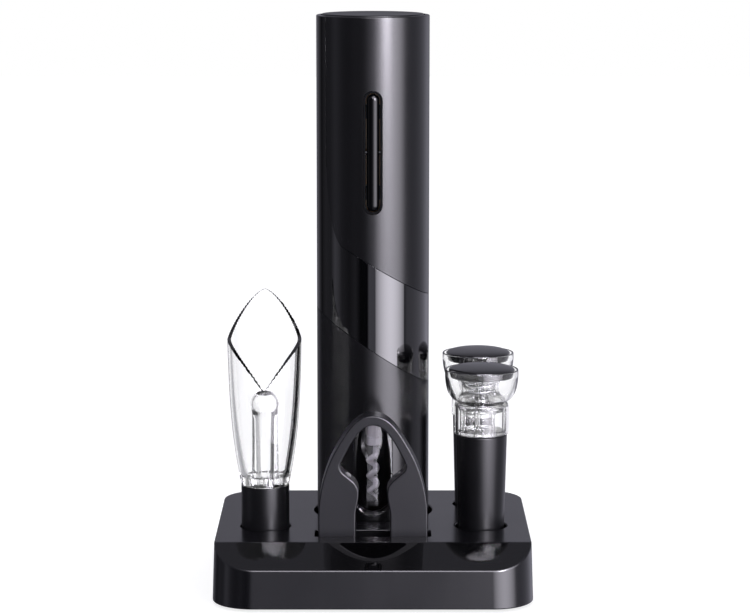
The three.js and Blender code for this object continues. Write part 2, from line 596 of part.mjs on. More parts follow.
// ---------------------------------------------------------------- gears
/** A spur gear outline; a negative side turns the teeth inwards for a ring gear. */
const toothedOutline = (teeth, side, Outline = THREE.Shape) => {
  const pitchRadius = (gear.module * teeth) / 2;
  const tip = pitchRadius + side * gear.addendum * gear.module;
  const root = pitchRadius - side * gear.dedendum * gear.module;
  const step = (2 * Math.PI) / teeth;
  const points = [];
  for (let i = 0; i < teeth; i += 1) {
    [[root, -gear.flankShare], [tip, -gear.tipShare], [tip, gear.tipShare], [root, gear.flankShare]]
      .forEach(([r, share]) => {
        const angle = (i + share) * step;
        points.push(new THREE.Vector2(r * Math.cos(angle), r * Math.sin(angle)));
      });
  }
  return new Outline(points);
};

const ringTeeth = gear.sunTeeth + 2 * gear.planetTeeth;
const orbitRadius = (gear.module * (gear.sunTeeth + gear.planetTeeth)) / 2;

/** The turn that puts a planet's gap on the sun's tooth at its place on the orbit. */
const planetTurn = (angle) => {
  const sunPitch = (2 * Math.PI) / gear.sunTeeth;
  const planetPitch = (2 * Math.PI) / gear.planetTeeth;
  return angle + Math.PI - planetPitch * (0.5 - angle / sunPitch);
};

const chuckTop = deck + chuck.top;
const chuckBottom = deck + chuck.bottom;

const buildGears = () => {
  const pinion = raised(toothedOutline(gear.sunTeeth, 1), gearBottom, gearTop)
    .add(disc(motor.shaftRadius, gearTop - joinDepth, motorBottom + cutOver));
  addPiece(groups.opener, 'motor_pinion', pinion, finishes.brass);

  const outer = chassisInner - seatGap;
  const halfPitch = 180 / ringTeeth;
  const ringCut = raised(toothedOutline(ringTeeth, -1), gearBottom - 2 * cutOver, motorPlateBottom)
    .rotate([0, 0, halfPitch]);
  const housing = disc(outer, gearBottom, motorPlateBottom + gearbox.plate)
    .subtract(ringCut)
    .subtract(disc(gearbox.bossHole, gearTop - cutOver, motorBottom));
  addPiece(groups.opener, 'gearbox_ring', housing, finishes.nylon);

  const planet = raised(toothedOutline(gear.planetTeeth, 1), gearBottom, gearTop)
    .subtract(disc(carrier.pinRadius + carrier.pinSlack, gearBottom - cutOver, gearTop + cutOver));
  const planetAngles = Array.from({ length: gear.planets }, (_, i) => (i * 2 * Math.PI) / gear.planets);
  const pins = planetAngles.map((angle) =>
    disc(carrier.pinRadius, gearBottom - seatGap - joinDepth, gearTop - seatGap)
      .translate([orbitRadius * Math.cos(angle), orbitRadius * Math.sin(angle), 0]));
  planetAngles.forEach((angle, i) => {
    const turnedPlanet = planet.rotate([0, 0, THREE.MathUtils.radToDeg(planetTurn(angle))]);
    addPiece(groups.opener, `planet_gear_${i + 1}`, turnedPlanet, finishes.nylon, [
      orbitRadius * Math.cos(angle), orbitRadius * Math.sin(angle), 0,
    ]);
  });

  const frame = united([
    disc(carrier.radius, carrierBottom, gearBottom - seatGap),
    disc(carrier.shaftRadius, chuckTop + seatGap, carrierBottom + joinDepth),
    ...pins,
  ]);
  addPiece(groups.opener, 'planet_carrier', frame, finishes.zinc);

  const bushBore = carrier.shaftRadius + bush.clearance;
  const flangeBottom = bulkheadTop + seatGap / 2;
  const bearing = turned([
    [bushBore, chassisBottom], [bush.radius, chassisBottom], [bush.radius, flangeBottom],
    [bush.flangeRadius, flangeBottom], [bush.flangeRadius, bulkheadTop + bush.flange],
    [bushBore, bulkheadTop + bush.flange],
  ]);
  addPiece(groups.opener, 'shaft_bush', bearing, finishes.brass);

  const grips = disc(chuck.radius, chuckBottom, chuckTop, chuck.chamfer);
  addPiece(groups.opener, 'worm_chuck', grips, finishes.steel);
};

/** A closed helical wire along Z. */
const coil = ({ radius, wireRadius, turns, sides, stepsPerTurn }, bottom, top) => {
  class Helix extends THREE.Curve {
    getPoint(t, target = new THREE.Vector3()) {
      const angle = 2 * Math.PI * turns * t;
      return target.set(radius * Math.cos(angle), radius * Math.sin(angle), bottom + (top - bottom) * t);
    }
  }
  const section = new THREE.Shape(Array.from({ length: sides }, (_, i) => new THREE.Vector2(
    wireRadius * Math.cos((2 * Math.PI * i) / sides), wireRadius * Math.sin((2 * Math.PI * i) / sides),
  )));
  const steps = Math.round(turns * stepsPerTurn);
  return solidFrom(new THREE.ExtrudeGeometry(section, { steps, extrudePath: new Helix() }));
};

const buildWorm = () => {
  const spiral = coil(
    { ...worm, radius: worm.coilRadius },
    deck + worm.bottom + worm.wireRadius, chuckBottom - seatGap - worm.wireRadius,
  );
  addPiece(groups.opener, 'worm', spiral, finishes.steel);
};

// ---------------------------------------------------------------- foil cutter
/** The right half of the cutter's outlines, drawn in X and Z from the deck. */
const cutterCurves = () => {
  const v = (x, z) => new THREE.Vector2(x, z);
  const [footX, gapX] = [cutter.footWidth / 2, cutter.legGap / 2];
  const [neckX, wideX] = [cutter.neckGap / 2, cutter.openingWidth / 2];
  const { height, openingTop, openingWideZ: wideZ, neckZ } = cutter;
  const bow = cutterBow;
  const shoulder = v(footX - bow.shoulderInset, wideZ + bow.shoulderRise);
  const wide = v(wideX, wideZ);
  const neck = v(neckX, neckZ);
  const side = new THREE.CubicBezierCurve(
    v(footX, bow.footStraight), v(footX, neckZ + bow.sideRise),
    v(shoulder.x + bow.sideSwell, wideZ), shoulder,
  );
  const crown = new THREE.CubicBezierCurve(
    shoulder, v(shoulder.x - bow.crownSwell, height - bow.crownDrop), v(bow.apexReach, height), v(0, height),
  );
  const flank = new THREE.CubicBezierCurve(
    v(0, openingTop), v(bow.openingReach, openingTop),
    v(wideX - bow.openingSwell, wideZ + bow.openingRise), wide,
  );
  const throat = new THREE.CubicBezierCurve(
    wide, v(wideX + bow.throatSwell, wideZ - bow.throatDrop),
    v(neckX + bow.neckSwell, neckZ + bow.neckRise), neck,
  );
  const leg = new THREE.CubicBezierCurve(
    neck, v(neckX, neckZ - bow.neckDrop), v(gapX, bow.legTop + bow.legRise), v(gapX, bow.legTop),
  );
  return { side, crown, flank, throat, leg };
};

const buildCutter = () => {
  const { side, crown, flank, throat, leg } = cutterCurves();
  const along = (curves, steps) =>
    curves.flatMap((curve, i) => curve.getPoints(steps).slice(i === 0 ? 0 : 1));
  const outerHalf = [
    new THREE.Vector2(cutter.footWidth / 2, -cutter.sunk), ...along([side, crown], cutter.outsideSteps),
  ];
  const innerHalf = [
    ...along([flank, throat, leg], cutter.insideSteps), new THREE.Vector2(cutter.legGap / 2, -cutter.sunk),
  ];
  const mirrored = (points) => points.map(({ x, y }) => new THREE.Vector2(-x, y)).reverse();
  const outline = [
    ...outerHalf, ...mirrored(outerHalf).slice(1), ...mirrored(innerHalf), ...innerHalf.slice(1),
  ];
  const halfThickness = cutter.thickness / 2;
  const frame = sweptAlongY(new THREE.Shape(outline), -halfThickness, halfThickness, cutter.edge);

  const halfway = 0.5;
  const seats = [flank, throat].flatMap((curve) => [-1, 1].map((mirror) => {
    const point = curve.getPoint(halfway);
    const tangent = curve.getTangent(halfway);
    const depth = wheel.radius - wheel.proud;
    return [mirror * (point.x - tangent.y * depth), point.y + tangent.x * depth];
  }));
  const axleReach = wheel.axleLength / 2 + wheel.slotSlack;
  const wheelCuts = seats.flatMap(([x, z]) => [
    pinAlongY(wheel.radius + wheel.slotSlack, -wheel.hubRadius / 2, wheel.hubRadius / 2).translate([x, 0, z]),
    pinAlongY(wheel.axleRadius + wheel.slotSlack, -axleReach, axleReach).translate([x, 0, z]),
  ]);
  const body = cutBy(frame, wheelCuts);
  [['front', -1], ['rear', 1]].forEach(([name, way]) => {
    const room = block(4 * cutter.footWidth, cutter.thickness, 4 * cutter.height)
      .translate([0, (way * (cutter.thickness + seatGap)) / 2, 0]);
    addPiece(groups.cutter, `cutter_${name}_half`, body.intersect(room), finishes.matteGrey, [0, 0, deck]);
  });

  const [axleEnd, hubEnd] = [wheel.axleLength / 2, wheel.thickness / 2];
  const blade = turned([
    [0, -axleEnd], [wheel.axleRadius, -axleEnd], [wheel.axleRadius, -hubEnd], [wheel.hubRadius, -hubEnd],
    [wheel.radius, 0], [wheel.hubRadius, hubEnd], [wheel.axleRadius, hubEnd], [wheel.axleRadius, axleEnd],
    [0, axleEnd],
  ]).rotate([90, 0, 0]);
  ['upper_left', 'upper_right', 'lower_left', 'lower_right'].forEach((place, i) => {
    const [x, z] = seats[i];
    addPiece(groups.cutter, `cutter_wheel_${place}`, blade, finishes.steel, [x, 0, deck + z]);
  });
};

// ---------------------------------------------------------------- pourer
const buildPourer = () => {
  const collarTop = deck + pourer.collarTop;
  const collarBottom = deck - pourer.collarSunk;
  const collarInner = pourer.radius - pourer.collarWall;
  const { radius, chamfer } = pourer;
  const collar = turned([
    [collarInner, collarBottom], [radius - chamfer, collarBottom], [radius, collarBottom + chamfer],
    [radius, collarTop - chamfer], [radius - chamfer, collarTop], [collarInner, collarTop],
  ]);
  addPiece(groups.pourer, 'pourer_collar', collar, finishes.blackPlastic);

  const neckOuter = collarInner - seatGap;
  const neckBottom = collarTop - tulip.neckLength;
  const sealTop = deck + seal.top;
  const ribs = Array.from({ length: seal.ribs }, (_, i) => restZ + seal.firstRib + i * seal.ribPitch);
  const sealPoints = [
    [seal.bore, restZ], [seal.radius - seal.lead, restZ],
    ...ribs.flatMap((z) => [
      [seal.radius, z], [seal.radius + seal.rib, z + seal.ribHalf], [seal.radius, z + 2 * seal.ribHalf],
    ]),
    [seal.radius, collarBottom - seatGap], [neckOuter, collarBottom - seatGap + seal.step],
    [neckOuter, sealTop], [seal.bore, sealTop],
  ];
  addPiece(groups.pourer, 'pourer_seal', turned(sealPoints), finishes.rubber);

  const flareBottom = collarTop + seatGap;
  const flare = new THREE.CubicBezierCurve(
    new THREE.Vector2(radius, flareBottom),
    new THREE.Vector2(radius + tulip.flareOut, collarTop + tulip.flareRise),
    new THREE.Vector2(tulip.belly - tulip.bellyTurn, deck + tulip.bellyZ - tulip.bellyDrop),
    new THREE.Vector2(tulip.belly, deck + tulip.backHigh + cutOver),
  ).getPoints(tulip.flareSteps).map(({ x, y }) => [x, y]);
  const inner = flare.slice(1).map(([r, z]) => [r - tulip.wall, z]).reverse();
  const neckInner = neckOuter - tulip.neckWall;
  const bell = turned([
    [neckInner, neckBottom], [neckOuter, neckBottom], [neckOuter, flareBottom], ...flare,
    ...inner, [neckInner + tulip.floorFillet, flareBottom + tulip.wall], [neckInner, flareBottom],
  ]);
  const reach = 2 * tulip.belly;
  const rimRadius = tulip.belly - tulip.wall / 2;
  const [rimLow, rimHigh] = [deck + tulip.frontLow, deck + tulip.backHigh];
  const mouth = new THREE.Shape();
  mouth.moveTo(-reach, rimLow);
  for (let i = 0; i <= tulip.rimSteps; i += 1) {
    const share = i / tulip.rimSteps;
    mouth.lineTo(-rimRadius * Math.cos(Math.PI * share), rimLow + (rimHigh - rimLow) * share);
  }
  mouth.lineTo(reach, rimHigh);
  mouth.lineTo(reach, rimHigh + reach);
  mouth.lineTo(-reach, rimHigh + reach);
  const mouthCut = sweptAlongY(mouth, -reach, reach).rotate([0, 0, 90]);
  addPiece(groups.pourer, 'pourer_tulip', bell.subtract(mouthCut), finishes.clear);

  const tubeBottom = neckBottom + seatGap;
  const headZ = deck + airTube.headZ;
  const tubeRadius = neckInner - seatGap;
  const arcPoints = (arcRadius, from, to, steps) => Array.from({ length: steps + 1 }, (_, i) => {
    const angle = from + ((to - from) * i) / steps;
    return [arcRadius * Math.cos(angle), headZ + arcRadius * Math.sin(angle)];
  });
  const joinAngle = -Math.acos(airTube.radius / (airTube.head + airTube.headOver));
  const mouthAngle = Math.acos(airTube.mouth / airTube.head);
  const innerHead = airTube.head - airTube.wall;
  const innerMouthAngle = Math.acos(airTube.mouth / innerHead);
  const innerJoinAngle = -Math.acos(airTube.wideBore / innerHead);
  const tube = turned([
    [airTube.narrowBore, tubeBottom], [tubeRadius, tubeBottom], [tubeRadius, collarTop],
    [airTube.radius, collarTop + airTube.shoulder],
    ...arcPoints(airTube.head, joinAngle, mouthAngle, airTube.outerSteps),
    ...arcPoints(innerHead, innerMouthAngle, innerJoinAngle, airTube.innerSteps),
  ]);
  addPiece(groups.pourer, 'pourer_air_tube', tube, finishes.clear);
};

// ---------------------------------------------------------------- stoppers
const buildStopper = (name, place) => {
  const group = new THREE.Group();
  group.position.set(...place, 0);
  set.add(group);
  const plugTop = deck + plug.top;
  const taper = (plug.topRadius - plug.deckRadius) / plug.top;
  const endRadius = plug.deckRadius + taper * (restZ - deck);
  const plugBody = turned([
    [plug.bore, restZ], [endRadius - plug.chamfer, restZ], [endRadius, restZ + plug.chamfer],
    [plug.topRadius, plugTop - plug.topChamfer], [plug.topRadius - plug.topChamfer, plugTop],
    [plug.bore, plugTop],
  ]);
  addPiece(group, `${name}_plug`, plugBody, finishes.rubber);

  const headBottom = plugTop + seatGap;
  const neckInner = bowl.neckRadius - bowl.neckWall;
  const neckTop = deck + bowl.neckTop;
  const [rimZ, rimTop] = [deck + bowl.rimZ, deck + bowl.rimTop];
  const outerWall = new THREE.CubicBezierCurve(
    new THREE.Vector2(bowl.waistRadius, neckTop + bowlBow.waistLift),
    new THREE.Vector2(bowl.rimRadius - bowlBow.lowInset, neckTop + bowlBow.lowInset),
    new THREE.Vector2(bowl.rimRadius - bowlBow.highInset, neckTop + bowlBow.highLift),
    new THREE.Vector2(bowl.rimRadius, rimZ),
  ).getPoints(bowlBow.steps).map(({ x, y: z }) => [x, z]);
  const floorTop = neckTop + bowl.floor;
  const floorBottom = neckTop - bowl.floorBelow;
  const rimInner = bowl.rimRadius - bowl.wall;
  const innerWall = outerWall.map(([r, z]) => [r - bowl.wall, z])
    .filter(([, z]) => z > floorTop + bowlBow.wallStart).reverse();
  const headBody = turned([
    [neckInner, headBottom], [bowl.neckRadius, headBottom], [bowl.neckRadius, neckTop - bowl.neckEdge],
    [bowl.neckRadius - bowl.neckFillet, neckTop], ...outerWall,
    [bowl.rimRadius, rimTop - bowl.chamfer], [bowl.rimRadius - bowl.chamfer, rimTop], [rimInner, rimTop],
    ...innerWall, [innerWall.at(-1)[0] - bowl.dishFillet, floorTop], [bowl.rodHole, floorTop],
    [bowl.rodHole, floorBottom], [neckInner - bowl.neckFillet, floorBottom],
    [neckInner, floorBottom - bowl.neckFillet],
  ]);
  addPiece(group, `${name}_head`, headBody, finishes.clear);

  const flapTop = headBottom + valve.thickness;
  const flap = disc(neckInner - seatGap, headBottom, flapTop, valve.chamfer)
    .add(disc(valve.nubRadius, flapTop - joinDepth, flapTop + valve.nub, valve.chamfer));
  addPiece(group, `${name}_valve`, flap, finishes.rubber);

  const capBottom = rimTop - pumpCap.side;
  const bossBottom = capBottom - pumpCap.boss;
  const button = turned([
    [0, bossBottom], [pumpCap.bossRadius, bossBottom], [pumpCap.bossRadius, capBottom],
    [pumpCap.radius - pumpCap.taper, capBottom], [pumpCap.radius, rimTop - pumpCap.chamfer],
    [pumpCap.radius - pumpCap.chamfer, rimTop],
    ...pumpCap.domeShares.map(([across, up]) => [pumpCap.radius * across, rimTop + pumpCap.dome * up]),
    [0, rimTop + pumpCap.dome],
  ]);
  addPiece(group, `${name}_pump_cap`, button, finishes.glossBlack);

  const cupTop = floorBottom - piston.cupGap;
  const rodTop = bossBottom - seatGap;
  const rod = disc(neckInner - seatGap, cupTop - piston.cup, cupTop, piston.cupChamfer)
    .add(disc(piston.rodRadius, cupTop - joinDepth, rodTop, piston.rodChamfer));
  addPiece(group, `${name}_piston`, rod, finishes.clear);

  const wire = coil(
    spring, floorTop + seatGap + spring.wireRadius, capBottom - seatGap - spring.wireRadius,
  );
  addPiece(group, `${name}_spring`, wire, finishes.steel);
};

buildStand();
buildCovers();
buildGuide();
buildChassis();
buildControls();
buildPower();
buildGears();
buildWorm();
buildCutter();
buildPourer();
buildStopper('stopper_front', places.stopperFront);
buildStopper('stopper_rear', places.stopperRear);

export default set;
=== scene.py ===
"""Dresses an electric wine opener set: tray, opener, foil cutter, pourer and two vacuum stoppers."""
import logging
from collections.abc import Callable, Iterable, Sequence
from dataclasses import dataclass
from enum import Enum
from math import acos, cos, degrees, pi, radians, sin

import bpy
from mathutils import Matrix, Vector


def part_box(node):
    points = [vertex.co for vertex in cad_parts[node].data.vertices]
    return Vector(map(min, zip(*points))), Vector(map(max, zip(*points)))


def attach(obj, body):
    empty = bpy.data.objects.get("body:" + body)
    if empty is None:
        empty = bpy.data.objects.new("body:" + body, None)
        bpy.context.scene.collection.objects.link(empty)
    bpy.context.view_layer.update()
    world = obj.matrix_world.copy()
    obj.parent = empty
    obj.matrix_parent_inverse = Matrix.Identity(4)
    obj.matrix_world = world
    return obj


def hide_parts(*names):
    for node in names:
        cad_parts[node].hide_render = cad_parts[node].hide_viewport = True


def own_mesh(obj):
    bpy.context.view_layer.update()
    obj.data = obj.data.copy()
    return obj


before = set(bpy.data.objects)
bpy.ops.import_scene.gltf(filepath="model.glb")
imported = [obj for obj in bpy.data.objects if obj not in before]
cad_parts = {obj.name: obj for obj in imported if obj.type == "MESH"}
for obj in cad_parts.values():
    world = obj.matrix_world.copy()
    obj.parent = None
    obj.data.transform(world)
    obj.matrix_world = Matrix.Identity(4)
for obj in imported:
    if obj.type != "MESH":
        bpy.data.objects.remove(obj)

MM = 0.001  # a millimetre, in metres
WELD = 0.002  # how near two vertices are merged, in millimetres
FULL_TURN = 360.0
HALF_TURN = 180.0
QUARTER_TURN = 90.0
SMOOTH = 35.0  # faces that meet at less than this many degrees are shaded smooth
FACING = 0.9  # a normal's share along an axis from which its face looks that way
OVERSHOOT = 1  # how far a cutting tool stands past what it cuts, in millimetres
CORNERS = ("front_left", "front_right", "rear_left", "rear_right")
WHEELS = ("upper_left", "upper_right", "lower_left", "lower_right")

Pair = tuple[float, float]
Colour = tuple[float, float, float]
Piece = bpy.types.Object
Node = bpy.types.Node
Socket = bpy.types.NodeSocket
Tree = bpy.types.NodeTree
log = logging.getLogger("wine_opener")


class Body(Enum):
    """The moving bodies that pieces ride on."""

    STAND = "stand"
    OPENER = "opener"
    ROCKER = "rocker"
    WORM = "worm_drive"
    CUTTER = "foil_cutter"
    POURER = "pourer"


class Slot(Enum):
    """The finishes that the set can be repainted with."""

    STAND = "stand_plastic"
    SATIN = "satin_black"
    GLOSS = "gloss_black"
    BLACK = "black_plastic"
    GREY = "matte_grey"
    SMOKED = "smoked"
    CLEAR = "clear"
    RUBBER = "black_rubber"
    STEEL = "steel"
    ZINC = "zinc"
    BRASS = "brass"
    NYLON = "nylon"
    CIRCUIT = "circuit"
    WRAP = "cell_wrap"


class Axis(Enum):
    """The axis that a piece is turned about."""

    Y = "y"
    Z = "z"


class Cut(Enum):
    """How one piece shapes another."""

    TAKE = "DIFFERENCE"
    KEEP = "INTERSECT"
    JOIN = "UNION"


# ---------------------------------------------------------------- handwork
def clear_selection() -> None:
    """Leaves edit mode and deselects every object."""
    if bpy.context.object and bpy.context.object.mode != "OBJECT":
        bpy.ops.object.mode_set(mode="OBJECT")
    bpy.ops.object.select_all(action="DESELECT")


def take(piece: Piece) -> None:
    """Makes one piece the only selected and the active one."""
    clear_selection()
    piece.hide_set(False)
    piece.select_set(True)
    bpy.context.view_layer.objects.active = piece


def settle(piece: Piece) -> None:
    """Puts a piece's place into its mesh, so that its object sits at the origin."""
    take(piece)
    bpy.ops.object.transform_apply(location=True, rotation=True, scale=True)


def unpick(piece: Piece, kind: str) -> bpy.types.Mesh:
    """Clears what is selected in a piece's mesh before vertices, edges or faces are picked.

    Args:
        piece: the piece that is worked on.
        kind: VERT, EDGE or FACE, whichever edit mode then works on.

    Returns:
        The piece's mesh, nothing in it selected.
    """
    take(piece)
    bpy.context.tool_settings.mesh_select_mode = [kind == other for other in ("VERT", "EDGE", "FACE")]
    mesh = piece.data
    for part in (*mesh.vertices, *mesh.edges, *mesh.polygons):
        part.select = False
    return mesh


def pick_vertices(piece: Piece, test: Callable[[Vector], bool]) -> None:
    """Opens edit mode on the vertices whose place, in millimetres, passes a test."""
    for vertex in unpick(piece, "VERT").vertices:
        vertex.select = test(vertex.co / MM)
    bpy.ops.object.mode_set(mode="EDIT")


def pick_edges(piece: Piece, test: Callable[[Vector, Vector], bool]) -> None:
    """Opens edit mode on the edges whose two ends, in millimetres, pass a test."""
    mesh = unpick(piece, "EDGE")
    for edge in mesh.edges:
        edge.select = test(*(mesh.vertices[i].co / MM for i in edge.vertices))
    bpy.ops.object.mode_set(mode="EDIT")


def pick_faces(piece: Piece, test: Callable[[Vector, Vector], bool]) -> None:
    """Opens edit mode on the faces whose middle, in millimetres, and normal pass a test."""
    for face in unpick(piece, "FACE").polygons:
        face.select = test(face.center / MM, face.normal)
    bpy.ops.object.mode_set(mode="EDIT")


def pick_ring(piece: Piece, first: int, count: int) -> Vector:
    """Opens edit mode on vertices that follow each other in a piece's mesh.

    Args:
        piece: the piece that is worked on.
        first: the number of the first vertex.
        count: how many are picked.

    Returns:
        Their middle, in metres.
    """
    chosen = unpick(piece, "VERT").vertices[first:first + count]
    for vertex in chosen:
        vertex.select = True
    centre = sum((vertex.co for vertex in chosen), Vector()) / count
    bpy.ops.object.mode_set(mode="EDIT")
    return centre


def upright(start: Vector, end: Vector) -> bool:
    """Whether an edge climbs by more than a millimetre."""
    return abs(start.z - end.z) > 1


def close_up(smooth: float = SMOOTH) -> None:
    """Welds the edited piece, points its faces outwards and shades it smooth.

    Args:
        smooth: the angle below which faces are shaded smooth, in degrees.
    """
    bpy.ops.mesh.select_all(action="SELECT")
    bpy.ops.mesh.remove_doubles(threshold=WELD * MM)
    bpy.ops.mesh.normals_make_consistent(inside=False)
    bpy.ops.object.mode_set(mode="OBJECT")
    bpy.ops.object.shade_smooth_by_angle(angle=radians(smooth))


def start_point(name: str, place: Vector) -> Piece:
    """Adds a small plane, merges it to one vertex and opens edit mode on it.

    Args:
        name: the piece's name.
        place: where the vertex goes, in millimetres.

    Returns:
        The piece, in edit mode.
    """
    clear_selection()
    bpy.ops.mesh.primitive_plane_add(size=MM, location=(0, 0, 0))
    piece = bpy.context.object
    piece.name = name
    bpy.ops.object.mode_set(mode="EDIT")
    bpy.ops.mesh.select_mode(type="VERT")
    bpy.ops.mesh.select_all(action="SELECT")
    bpy.ops.mesh.merge(type="CENTER")
    bpy.ops.transform.translate(value=place * MM)
    return piece


def draw_on(points: Sequence[Vector]) -> None:
    """Extrudes the last vertex through the rest of a line of points."""
    for before, after in zip(points, points[1:]):
        step = (after - before) * MM
        bpy.ops.mesh.extrude_vertices_move(TRANSFORM_OT_translate={"value": step})


def turned(
    name: str, profile: Sequence[Pair], centre: Vector, steps: int,
    axis: Axis = Axis.Z, smooth: float = SMOOTH,
) -> Piece:
    """Turns a profile about an axis, as on a lathe.

    Args:
        name: the piece's name.
        profile: pairs of radius and height; a ring's profile ends where it starts.
        centre: a point on the axis, in millimetres.
        steps: how many flats go round.
        axis: the axis of the lathe.
        smooth: the angle below which faces are shaded smooth.

    Returns:
        The closed piece.
    """
    along = {Axis.Y: Vector((0, 1, 0)), Axis.Z: Vector((0, 0, 1))}[axis]
    across = Vector((1, 0, 0))
    line = [centre + across * r + along * h for r, h in profile]
    piece = start_point(name, line[0])
    draw_on(line)
    bpy.ops.mesh.select_all(action="SELECT")
    bpy.ops.mesh.spin(
        steps=steps, angle=radians(FULL_TURN), center=centre * MM, axis=along, dupli=False,
    )
    close_up(smooth)
    return piece


def rod(name: str, radius: float, low: float, high: float, place: Vector, steps: int) -> Piece:
    """Turns a plain round rod, which cuts or fills."""
    return turned(name, [(0, low), (radius, low), (radius, high), (0, high)], place, steps)


def ring(inner: float, outer: float, low: float, high: float) -> list[Pair]:
    """The closed profile of a plain ring, for turning."""
    return [(inner, low), (outer, low), (outer, high), (inner, high), (inner, low)]


def drawn_out(
    name: str, outline: Sequence[Pair], low: float, high: float, centre: Vector = Vector(),
) -> Piece:
    """Fills an outline and extrudes it straight back.

    Args:
        name: the piece's name.
        outline: X and Z pairs.
        low: where the extrusion starts on the Y axis, in millimetres.
        high: where it ends.
        centre: what the outline is drawn about, in millimetres.

    Returns:
        The closed piece.
    """
    line = [centre + Vector((x, low, z)) for x, z in outline]
    piece = start_point(name, line[0])
    draw_on(line)
    bpy.ops.mesh.select_all(action="SELECT")
    bpy.ops.mesh.edge_face_add()
    reach = Vector((0, high - low, 0)) * MM
    bpy.ops.mesh.extrude_region_move(TRANSFORM_OT_translate={"value": reach})
    close_up()
    return piece


def block(name: str, low: Sequence[float], high: Sequence[float]) -> Piece:
    """Adds a cube that fills a box given by two corners in millimetres.

    Args:
        name: the piece's name.
        low: the lowest corner.
        high: the highest corner.

    Returns:
        The block, its place in its mesh.
    """
    clear_selection()
    middle = [(a + b) / 2 * MM for a, b in zip(low, high)]
    size = [(b - a) * MM for a, b in zip(low, high)]
    bpy.ops.mesh.primitive_cube_add(size=1, location=middle, scale=size)
    piece = bpy.context.object
    piece.name = name
    settle(piece)
    return piece


def apply_modifier(piece: Piece, kind: str, **settings: object) -> None:
    """Adds a modifier and applies it.

    Args:
        piece: the piece that it shapes.
        kind: the modifier's type.
        settings: the modifier's own settings.
    """
    take(piece)
    modifier = piece.modifiers.new(kind.title(), kind)
    for key, value in settings.items():
        setattr(modifier, key, value)
    bpy.ops.object.modifier_apply(modifier=modifier.name)


def shape_with(piece: Piece, tool: Piece, cut: Cut = Cut.TAKE, keep_tool: bool = False) -> None:
    """Cuts, trims or joins a piece with another one.

    Args:
        piece: what is shaped.
        tool: what shapes it.
        cut: how it does so.
        keep_tool: leaves the tool for another cut.
    """
    apply_modifier(piece, "BOOLEAN", operation=cut.value, object=tool, solver="EXACT")
    if not keep_tool:
        bpy.data.objects.remove(tool)


def even_shading(piece: Piece, smooth: float = SMOOTH) -> None:
    """Shades a cut piece smooth below an angle, its large faces ruling the small ones at their edges."""
    take(piece)
    bpy.ops.object.shade_smooth_by_angle(angle=radians(smooth))
    apply_modifier(piece, "WEIGHTED_NORMAL", mode="FACE_AREA", weight=50, keep_sharp=True)


def soften(piece: Piece, width: float, segments: int, above: float) -> None:
    """Rounds the edges of a piece that are sharper than an angle.

    Args:
        piece: the piece that is rounded.
        width: the width of the rounding, in millimetres.
        segments: how many flats it has.
        above: the angle from which an edge counts as sharp, in degrees.
    """
    apply_modifier(
        piece, "BEVEL", width=width * MM, segments=segments, limit_method="ANGLE",
        angle_limit=radians(above), harden_normals=False, use_clamp_overlap=True,
    )
    even_shading(piece)


def copied(piece: Piece, name: str, shift: Vector) -> Piece:
    """Copies a piece, with a mesh of its own, and moves the copy.

    Args:
        piece: the piece that is copied.
        name: the copy's name.
        shift: how far the copy is moved, in millimetres.

    Returns:
        The copy.
    """
    take(piece)
    bpy.ops.object.duplicate(linked=False)
    twin = bpy.context.object
    twin.name = name
    bpy.ops.transform.translate(value=shift * MM)
    settle(twin)
    return twin


def ringed(piece: Piece, radius: float, count: int, offset: float) -> Piece:
    """Copies a piece round the upright axis that it stands on and joins the copies.

    Args:
        piece: the piece at the axis, which is used up.
        radius: how far from the axis the copies stand.
        count: how many there are.
        offset: where the first one stands, in degrees.

    Returns:
        One piece that holds all the copies.
    """
    turns = [radians(offset + FULL_TURN * i / count) for i in range(count)]
    copies = [copied(piece, "copy", Vector((radius * cos(t), radius * sin(t), 0))) for t in turns]
    bpy.data.objects.remove(piece)
    clear_selection()
    for twin in copies:
        twin.select_set(True)
    bpy.context.view_layer.objects.active = copies[0]
    bpy.ops.object.join()
    return copies[0]


def bezier(ends: Sequence[Pair], steps: int) -> list[Pair]:
    """Points along a cubic curve given by its two ends and two handles.

    Args:
        ends: start, first handle, second handle and end.
        steps: how many lengths the curve is split into.

    Returns:
        The points, both ends among them.
    """
    line = []
    for i in range(steps + 1):
        t = i / steps
        weights = ((1 - t) ** 3, 3 * t * (1 - t) ** 2, 3 * t * t * (1 - t), t ** 3)
        line.append(tuple(sum(w * p[k] for w, p in zip(weights, ends)) for k in (0, 1)))
    return line


def arc(centre: Pair, radius: float, first: float, last: float, steps: int) -> list[Pair]:
    """Points along an arc from one angle to another, in degrees."""
    turns = [radians(first + (last - first) * i / steps) for i in range(steps + 1)]
    return [(centre[0] + radius * cos(t), centre[1] + radius * sin(t)) for t in turns]


def pill(width: float, length: float, middle: float, steps: int = 24) -> list[Pair]:
    """The outline of an upright slot with round ends.

    Args:
        width: how wide the slot is.
        length: its height, both ends among it.
        middle: the height of its middle.
        steps: how many flats each round end has.

    Returns:
        Pairs of X and Z.
    """
    radius = width / 2
    straight = length / 2 - radius
    return [
        *arc((0, middle + straight), radius, 0, HALF_TURN, steps),
        *arc((0, middle - straight), radius, HALF_TURN, FULL_TURN, steps),
    ]


